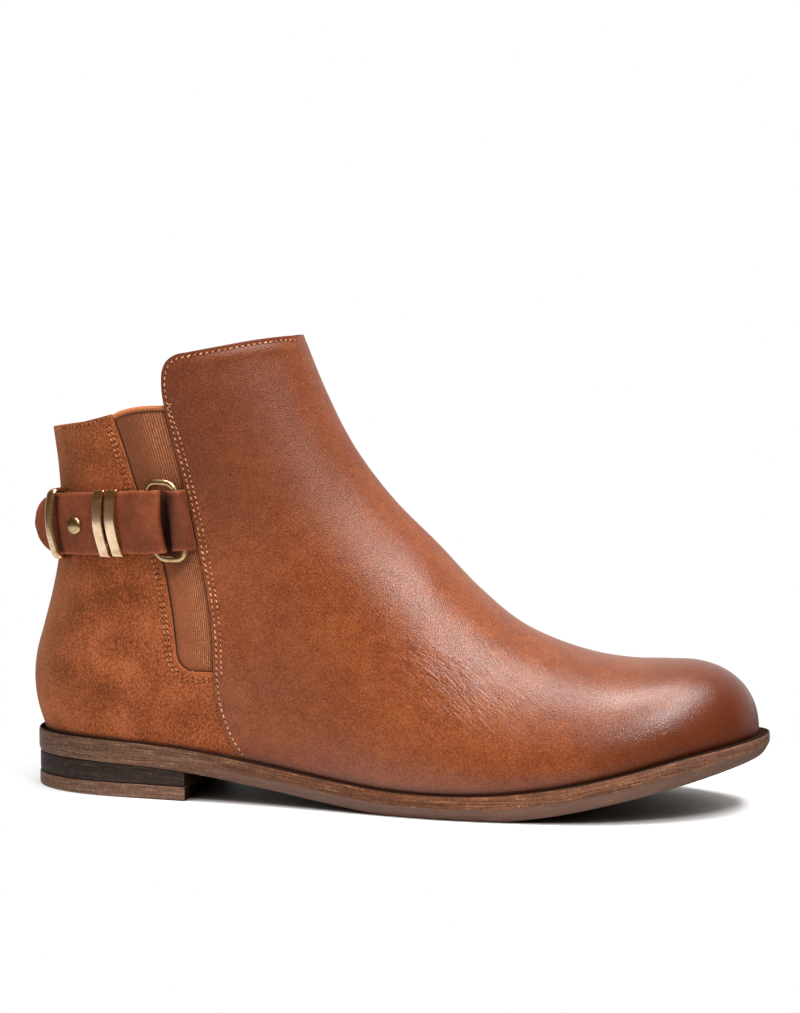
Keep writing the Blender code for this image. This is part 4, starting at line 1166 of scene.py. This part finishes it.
# painted highlight on the free end beyond the loop, and painted shadow in a dark band beside the loop
litEnd = strapPiece["endLight"] * (freeRun > loopPiece["along"] + 1) * freePart
strapEdgesAndShading = {
    "edge": np.maximum(edgeMark(strapShares, strapPiece["edgeFrom"]), litEnd),
    "shade": np.exp(-(fromLoop / soft) ** 2) * freePart,
}
strap = finishPiece(strapMesh, "strap_band", [strapHide, rawEdge], "strap", strapEdgesAndShading)
thicken(strap, strapPiece["thick"], 0.0, 1)
softenEdges(strap, strapPiece["edgeRound"])

tabPiece = {
    "thick": 1.0, "half": 10.2, "wire": 1.1, "foldX": 62.9, "shoulderX": 65.2, "endX": 67.2, "inner": 0.1,
    "outer": 2.2, "drop": 1.4, "lean": 0.2, "columns": 72, "rows": 14, "edgeFrom": 0.9, "edge": 0.6,
    "shade": 0.41, "foldShade": 0.55, "foldFrom": (1.0, -1.5),
}


def tabRun():
    t = tabPiece
    bend = foldRound(t["foldX"], t["wire"] + gap + t["thick"] / 2, -1)
    pairs = [(t["endX"], t["inner"]), ((t["foldX"] + t["endX"]) / 2, (t["inner"] + bend[0][1]) / 2), *bend]
    pairs += [(t["shoulderX"], bend[-1][1]), (t["endX"] - 0.4, t["outer"] + t["drop"])]
    pairs.append((t["endX"], t["outer"]))
    places = [besideHeel(*pair) for pair in pairs]
    spread = np.array([float(smoothStep(t["shoulderX"], t["endX"], x)) for x, offset in pairs])
    leans = strapPiece["lean"] + (t["lean"] - strapPiece["lean"]) * spread
    return np.array([p[0] for p in places]), np.array([p[2] for p in places]), leans


tabPath, tabWays, tabLeans = tabRun()
tabHalves = np.full(len(tabPath), tabPiece["half"])
tabMesh, tabShares = ribbonMesh(tabPath, tabHalves, tabWays, tabLeans, 0.0,
                                tabPiece["columns"], tabPiece["rows"])
fromFold = shoePlaces(tabMesh)[:, 0] - tabPiece["foldX"]
tabEdge = {
    "edge": edgeMark(tabShares, tabPiece["edgeFrom"]) * tabPiece["edge"],
    "shade": tabPiece["shade"] + tabPiece["foldShade"] * smoothStep(*tabPiece["foldFrom"], fromFold),
}
tab = finishPiece(tabMesh, "strap_ring_tab", [strapHide, rawEdge], "strap_tab", tabEdge)
thicken(tab, tabPiece["thick"], 0.0, 1)
softenEdges(tab, strapPiece["edgeRound"])
print("strap done")


# Brass fittings
def antiqueBrass(name, dark, light, smooth):
    made, tree, shader = newMaterial(name, Metallic=1.0)
    place = objectPlace(tree)
    tarnish = noiseAt(tree, place, 260.0, 4.0, 0.65, 0.3)
    fine = noiseAt(tree, place, 1500.0, 3.0, 0.6)
    wire(tree, shader, Base_Color=ramp(tree, tarnish, ((0.32, dark), (0.62, light))),
         Roughness=ranged(tree, tarnish, 0.3, 0.7, smooth + 0.12, smooth),
         Normal=bumpOn(tree, fine, 0.2, 0.05))
    return made


brass = antiqueBrass("antique_brass", (0.8, 0.53, 0.3), (1.0, 0.73, 0.5), 0.15)
wornBrass = antiqueBrass("worn_brass", (0.26, 0.155, 0.055), (0.66, 0.46, 0.26), 0.25)
loopBrass = antiqueBrass("loop_brass", (0.42, 0.27, 0.11), (0.92, 0.68, 0.44), 0.2)


def tubeRings(points, across, deep, outward, closed, sides=16):  # rings of an oval wire along its path
    points = np.array(points)
    if closed:
        tangent = np.roll(points, -1, axis=0) - np.roll(points, 1, axis=0)
    else:
        tangent = np.gradient(points, axis=0)
    tangent = unit(tangent)
    side = unit(np.cross(tangent, outward))
    front = np.cross(side, tangent)
    angles = 2 * np.pi * np.arange(sides) / sides
    rings = [p + np.outer(np.cos(angles), s) * across + np.outer(np.sin(angles), f) * deep
             for p, s, f in zip(points, side, front)]
    return rings + rings[:1] if closed else rings


def wireMesh(points, across, deep, outward, closed):
    bm = bmesh.new()
    first, last = loft(bm, tubeRings(points, across, deep, outward, closed))
    if closed:
        weld(bm, 0.001)
    else:
        capEnds(bm, first, last)
    return bm


def ringPoints():
    r = ringPiece
    place, out, backward = besideHeel(r["x"], r["offset"])
    points = []
    for k in range(r["steps"]):
        c, s = math.cos(2 * math.pi * k / r["steps"]), math.sin(2 * math.pi * k / r["steps"])
        size = (abs(c) ** r["square"] + abs(s) ** r["square"]) ** (-1 / r["square"])
        up = r["halfTall"] * size * s
        flat = place + backward * (r["halfLong"] * size * c + r["lean"] * up)
        points.append((*flat, strapHeight(r["x"]) + up))
    return points, np.array((*out, 0.0))


points, outward = ringPoints()
ringMesh = wireMesh(points, ringPiece["wire"], ringPiece["wire"], outward, True)
finishPiece(ringMesh, "strap_ring", [wornBrass], "ring")

bandPiece = {
    "x": (36.0, 40.3), "width": 3.9, "wall": 0.6, "seat": 0.6, "corner": 0.9, "crown": 0.95, "tilt": -0.035,
    "edgeRound": 0.3,
}


def roundCorner(reach, tall, radius, count):
    turn = np.linspace(0, np.pi / 2, count)
    return [(reach - radius * (1 - math.sin(a)), tall - radius * (1 - math.cos(a))) for a in turn]


def bandMesh(x):
    b, p = bandPiece, strapPiece
    place, out, backward = besideHeel(x, 0.0)
    face = p["outer"] + p["thick"] / 2 + gap
    inner = p["half"] + gap
    outer, front = inner + b["wall"], face + b["wall"]
    corner = roundCorner(front, outer, b["corner"], 6)
    heights = np.linspace(outer - b["corner"], -(outer - b["corner"]), 17)[1:-1]
    crown = [(front + b["crown"] * (1 - abs(h / outer) ** 1.5) - b["tilt"] * h, h) for h in heights]
    inside = [(face, h) for h in np.linspace(-inner, inner, 17)]
    profile = [(b["seat"], inner), (b["seat"], outer), *corner, *crown]
    profile += [(reach, -h) for reach, h in corner[::-1]]
    profile += [(b["seat"], -outer), (b["seat"], -inner), *inside]
    rings = []
    for along in (0.5, 0.25, 0.0, -0.25, -0.5):
        start = place + backward * b["width"] * along
        rings.append([leaned(start + out * reach, backward, strapHeight(x), h) for reach, h in profile])
    bm = bmesh.new()
    first, last = loft(bm, rings)
    capEnds(bm, first, last)
    return bm


for name, x in zip(("rear", "front"), bandPiece["x"]):
    band = finishPiece(bandMesh(x), "brass_band_" + name, [brass], "strap_band_" + name, smooth=0.5)
    softenEdges(band, bandPiece["edgeRound"], 3, 0.9)

studPiece = {
    "along": 4.6, "drop": 0.6, "radius": 3.15, "height": 2.3, "rim": 0.5, "rimIn": 0.96, "footIn": 0.8,
    "sink": 0.2,
}


def studMesh():
    s, p = studPiece, strapPiece
    start, out, backward = besideHeel(p["peelX"], p["outer"] + p["thick"] / 2 + gap)
    place = start + backward * s["along"]
    angles = np.linspace(np.pi / 2, 0, 10)
    dome = s["height"] - s["rim"]
    profile = [(s["radius"] * math.cos(a), s["rim"] + dome * math.sin(a)) for a in angles]
    profile += [(s["radius"] * s["rimIn"], s["rim"] / 2), (s["radius"] * s["footIn"], -s["sink"])]
    profile.append((0.0, -s["sink"]))
    bm = bmesh.new()
    line = [bm.verts.new((r, 0.0, h)) for r, h in profile]
    edges = [bm.edges.new(pair) for pair in zip(line, line[1:])]
    bmesh.ops.spin(bm, geom=line + edges, cent=(0, 0, 0), axis=(0, 0, 1), angle=2 * math.pi, steps=36,
                   use_merge=True)
    weld(bm, 0.001)
    turn = Vector((*out, 0.0)).to_track_quat("Z", "Y").to_matrix().to_4x4()
    seat = Matrix.Translation((*place, strapHeight(place[0]) - s["drop"]))
    bmesh.ops.transform(bm, matrix=seat @ turn, verts=bm.verts)
    return bm


finishPiece(studMesh(), "strap_stud", [wornBrass], "stud")


def loopPoints():
    w, p = loopPiece, strapPiece
    start, out, backward = besideHeel(p["peelX"], p["outer"])
    place = start + backward * w["along"]
    middle = strapHeight(place[0])
    reach = p["thick"] / 2 + gap + w["wire"]
    tall = p["half"] + (p["endHalf"] - p["half"]) * w["along"] / p["end"] + gap + w["wire"]
    points = []
    for sign in (1, -1):
        foot = 0.0
        x, y, z = leaned(place, backward, middle, sign * tall)
        while y - out[1] * foot < upperY(np.array([x - out[0] * foot]), np.array([z]), "lateral")[0]:
            foot += 0.1
        bend = roundCorner(reach, tall, w["corner"], 9)
        leg = [(w["seat"] - foot, tall), ((w["seat"] - foot + bend[0][0]) / 2, tall), *bend]
        points += [leaned(place + out * along, backward, middle, sign * up) for along, up in leg[::sign]]
    half = len(points) // 2
    bar = []
    for up in np.linspace(tall - w["corner"], w["corner"] - tall, 15)[1:-1]:
        bow = w["crown"] * (1 - (up / (tall - w["corner"])) ** 2)
        bar.append(leaned(place + out * (reach + bow), backward, middle, up))
    return points[:half] + bar + points[half:], np.array((*backward, 0.0))


points, sideways = loopPoints()
loopMesh = wireMesh(points, loopPiece["wire"], loopPiece["wide"], sideways, False)
finishPiece(loopMesh, "brass_keeper", [loopBrass], "keeper_loop")
print("fittings done")

# Stitches: short turns of thread in rows, with the needle's holes between them as flat dark spots of painted
# shade
stitchPiece = {
    "pitch": 2.1, "long": 1.45, "wide": 0.6, "tall": 0.46, "hole": 0.33, "slant": 0.26, "uneven": 0.2,
    "proud": 0.06, "step": 0.4, "holeOval": 0.9, "holeTall": 0.1,
}


def threadMaterial(name, dark, light):
    made, tree, shader = newMaterial(name, Roughness=0.7, Specular_IOR_Level=0.2)
    place = objectPlace(tree)
    tone = weighted(tree, (noiseAt(tree, place, 420.0, 2.0), 0.65), (noiseAt(tree, place, 2600.0, 2.0), 0.35))
    wire(tree, shader, Base_Color=ramp(tree, tone, ((0.38, dark), (0.6, light))),
         Normal=bumpOn(tree, noiseAt(tree, place, 3200.0), 0.5, 0.1))
    return made


goldThread = threadMaterial("gold_thread", (0.21, 0.066, 0.024), (0.69, 0.36, 0.19))
tanThread = threadMaterial("tan_thread", (0.155, 0.043, 0.0135), (0.58, 0.235, 0.1))
holeShadeTones = ((0.3, (0.03, 0.008, 0.003)), (0.7, (0.09, 0.022, 0.007)))
needleHoleShade = speckled("needle_hole_shade", 900.0, holeShadeTones, Roughness=0.9, Specular_IOR_Level=0.04)[0]


def offsetLine(line, distance):  # a line in side view moved sideways
    way = unit(np.gradient(line, axis=0))
    return line + np.column_stack((-way[:, 1], way[:, 0])) * np.reshape(distance, (-1, 1))


def joinInto(bm, part):
    data = bpy.data.meshes.new("part")
    part.to_mesh(data)
    part.free()
    bm.from_mesh(data)
    bpy.data.meshes.remove(data)


def stitchRow(threadMesh, pricksMesh, line, side, lift, pitch, bold=1.0):
    bm, holes, size = bmesh.new(), bmesh.new(), stitchPiece
    places, outs = onUpper(*curveThrough(line, 400).T, side, lift)
    steps = lengths(places)
    count = max(int(steps[-1] / pitch), 1)

    def at(values, where):
        return Vector([np.interp(where, steps, row) for row in values.T])

    def direction(where):
        way = at(places, where + size["step"]) - at(places, where - size["step"])
        return way.normalized(), at(outs, where).normalized()

    def laid(place, way, out, scale):
        axes = Matrix((way, out.cross(way), out)).transposed().to_4x4()
        return Matrix.Translation(place) @ axes @ Matrix.Diagonal((*scale, 1.0))

    for k in range(count + 1):
        where = steps[-1] * k / count
        if k < count:
            middle = where + steps[-1] / count / 2
            way, out = direction(middle)
            tilt = size["slant"] + size["uneven"] * math.sin(12.9 * k + 3.1)
            way = (way + out.cross(way) * tilt).normalized()
            grow = bold * (1 + size["uneven"] * math.sin(7.3 * k))
            scale = (size["long"] / 2 * grow, size["wide"] / 2 * bold, size["tall"] / 2 * bold)
            spot = laid(at(places, middle) + out * size["proud"], way, out, scale)
            bmesh.ops.create_uvsphere(bm, u_segments=6, v_segments=6, radius=1.0, matrix=spot)
        scale = (size["hole"], size["hole"] * size["holeOval"], size["holeTall"])
        spot = laid(at(places, where), *direction(where), scale)
        bmesh.ops.create_uvsphere(holes, u_segments=8, v_segments=4, radius=1.0, matrix=spot)
    joinInto(threadMesh, bm)
    joinInto(pricksMesh, holes)


vampSeam = {
    "edge": 1.25, "lowEdge": 1.7, "lowZ": (46.0, 18.0), "second": 2.95, "secondEnd": 43.0, "join": 137.5,
    "joinTall": 14, "joinGap": 0.5, "collar": 1.5, "frontEnd": 98.7, "foot": 15.2, "level": -0.05,
    "secondPitch": 0.9, "secondBold": 0.85, "tackPitch": 0.9, "tackBold": 0.7,
}
counterSeam = {
    "rows": (2.0, 3.2), "pitch": 1.9, "collar": 1.1, "collarX": (13.5, 35.5),
    "topX": (12.4, 29.3, 38.9), "topZ": (127.7, 130.4, 133.0),
}
tacks = (((58.2, 137.3), (59.6, 136.9), (61.0, 136.6)), ((75.2, 42.2), (76.6, 41.9), (78.0, 41.7)))
seamZ = np.linspace(vampSeam["foot"], vampTop["z"][0], 130)
edgeLine = np.column_stack((spline(vampEdge, "x", seamZ), seamZ))
goldMesh, tanMesh, holeShadeMesh = bmesh.new(), bmesh.new(), bmesh.new()
inset = vampSeam["edge"] + (vampSeam["lowEdge"] - vampSeam["edge"]) * smoothStep(*vampSeam["lowZ"], seamZ)
rearRow = offsetLine(edgeLine, -inset)
collarRow = offsetLine(topCurve, -vampSeam["collar"])
collarRow = collarRow[collarRow[:, 0] < vampSeam["frontEnd"]][20:]
rearRow = np.vstack((rearRow[::6], collarRow[::40], collarRow[-1:]))
secondRow = offsetLine(edgeLine, -vampSeam["second"])
secondRow = secondRow[(seamZ > vampSeam["secondEnd"]) & (seamZ < vampSeam["join"])]
joined = smoothStep(vampSeam["join"] - vampSeam["joinTall"], vampSeam["join"], secondRow[:, 1])
secondRow[:, 0] -= joined * (vampSeam["second"] - vampSeam["edge"] - vampSeam["joinGap"])
topX = np.linspace(*counterSeam["collarX"], 12)
topZ = np.interp(topX, counterSeam["topX"], counterSeam["topZ"]) - counterSeam["collar"]
suedeRows = [offsetLine(evenly(pocket, 240), distance)[3:-4:6] for distance in counterSeam["rows"]]
suedeRows.append(np.column_stack((topX, topZ)))
goldLevel, goldPitch = vampSeam["level"], stitchPiece["pitch"]
secondPitch = goldPitch * vampSeam["secondPitch"]
for side in outSign:
    stitchRow(goldMesh, holeShadeMesh, rearRow, side, goldLevel, goldPitch)
    stitchRow(goldMesh, holeShadeMesh, secondRow[::6], side, goldLevel, secondPitch, vampSeam["secondBold"])
    for tack in tacks:
        stitchRow(goldMesh, holeShadeMesh, np.array(tack), side, 0.0, vampSeam["tackPitch"], vampSeam["tackBold"])
    for row in suedeRows:
        stitchRow(tanMesh, holeShadeMesh, row, side, counterPiece["level"], counterSeam["pitch"])
finishPiece(goldMesh, "vamp_stitches", [goldThread], None)
finishPiece(tanMesh, "suede_stitches", [tanThread], None)
finishPiece(holeShadeMesh, "needle_hole_shades", [needleHoleShade], None)
print("stitches done")

# Studio: pale floor, soft lights and the photograph's viewing angle
studio = {
    "eye": (347.2, -923.3, 185.0), "target": (134.05, 0.0, 100.74), "focalPixels": 2750.0,
    "imageHeight": 1013.0, "lampAim": (0.0, 0.0, 0.07), "ambient": 0.38,
    "mirrorFront": (0.1, 0.06, 0.024), "mirrorBack": (0.85, 0.84, 0.82), "mirrorY": (0.15, 0.55),
    "floorSize": 0.65, "floorCentre": 0.055, "floorNear": 0.14, "floorFar": 0.215, "floorNarrow": 1.6,
    "shadeReach": 0.042, "toeX": (0.0, 0.1), "toeMirror": (0.1, 0.06, 0.045), "toeGlow": 0.15,
    "shadow": ((0.04, (0.055, 0.033, 0.026)), (0.42, (0.95, 0.95, 0.95)), (0.2, (0.3, 0.25, 0.225))),
}
lamps = {
    "name": ("key", "strip", "front", "fill"),
    "place": ((-0.02, -0.03, 1.3), (0.52, -0.17, 1.19), (0.53, -0.69, 1.05), (-0.45, -1.05, 0.42)),
    "size": (0.5, 0.33, 0.3, 0.6),
    "power": (10.8, 10.2, 9.5, 3.0),
    "glossy": (True, True, True, False),
}
aim = Vector(studio["lampAim"])
for name, place, size, power, glossy in zip(*lamps.values()):
    light = bpy.data.lights.new(name, "AREA")
    light.shape = "DISK"
    light.size = size
    light.energy = power
    lamp = bpy.data.objects.new(name, light)
    lamp.location = place
    lamp.visible_glossy = glossy
    lamp.rotation_euler = (aim - Vector(place)).to_track_quat("-Z", "Y").to_euler()
    bpy.context.scene.collection.objects.link(lamp)

floorMesh = bmesh.new()
bmesh.ops.create_grid(floorMesh, x_segments=8, y_segments=8, size=studio["floorSize"])
floorData = bpy.data.meshes.new("floor")
floorMesh.to_mesh(floorData)
floorMesh.free()
floor = bpy.data.objects.new("floor", floorData)
bpy.context.scene.collection.objects.link(floor)
floorPaint, floorTree, floorShader = newMaterial("floor_paint", Roughness=0.55, Specular_IOR_Level=0.25)
# Painted shadow: the floor darkens where the occlusion node finds the boot close by. Painted reflection: in
# glossy rays the floor in front of the toe is dark and glows less.
nearby = add(floorTree, "AmbientOcclusion", {"Distance": studio["shadeReach"]}, samples=12).outputs["AO"]
fromHeel = add(floorTree, "SeparateXYZ", {0: objectPlace(floorTree)}).outputs["X"]
inMirror = add(floorTree, "LightPath").outputs["Is Glossy Ray"]
flagged = times(floorTree, ranged(floorTree, fromHeel, *studio["toeX"]), inMirror)
floorTone = mixed(floorTree, flagged, ramp(floorTree, nearby, studio["shadow"]), studio["toeMirror"])
wire(floorTree, floorShader, Base_Color=floorTone)
flatPlace = add(floorTree, "VectorMath", {0: objectPlace(floorTree), 1: (studio["floorCentre"], 0.0, 0.0)},
                operation="SUBTRACT").outputs["Vector"]
flatPlace = stretched(floorTree, flatPlace, (1.0, studio["floorNarrow"], 1.0))
away = add(floorTree, "VectorMath", {0: flatPlace}, operation="LENGTH").outputs["Value"]
strength = ranged(floorTree, flagged, 0.0, 1.0, 1.0, studio["toeGlow"])
glow = add(floorTree, "Emission", {"Color": (1.0, 1.0, 1.0, 1.0), "Strength": strength})
fade = ranged(floorTree, away, studio["floorNear"], studio["floorFar"])
both = add(floorTree, "MixShader", {0: fade, 1: floorShader.outputs["BSDF"], 2: glow.outputs["Emission"]})
floorTree.links.new(both.outputs["Shader"], floorTree.nodes["Material Output"].inputs["Surface"])
floorData.materials.append(floorPaint)

world = bpy.data.worlds.new("studio")
world.use_nodes = True
worldTree = world.node_tree
soft = worldTree.nodes["Background"]
paths = add(worldTree, "LightPath").outputs
side = add(worldTree, "SeparateXYZ", {0: objectPlace(worldTree)}).outputs["Y"]
behind = ranged(worldTree, side, *studio["mirrorY"])
mirror = mixed(worldTree, behind, studio["mirrorFront"], studio["mirrorBack"])
around = mixed(worldTree, paths["Is Diffuse Ray"], mirror, [studio["ambient"]] * 3)
wire(worldTree, soft, Color=mixed(worldTree, paths["Is Camera Ray"], around, (1.0, 1.0, 1.0)))
soft.inputs["Strength"].default_value = 1.0
bpy.context.scene.world = world
bpy.context.scene.view_settings.view_transform = "Standard"

camera = bpy.data.objects.new("camera", bpy.data.cameras.new("camera"))
camera.data.lens = studio["focalPixels"] / studio["imageHeight"] * camera.data.sensor_width
camera.location = toFrame @ Vector(studio["eye"])
toTarget = toFrame @ Vector(studio["target"]) - camera.location
camera.rotation_euler = toTarget.to_track_quat("-Z", "Y").to_euler()
bpy.context.scene.collection.objects.link(camera)
bpy.context.scene.camera = camera
print("studio done")
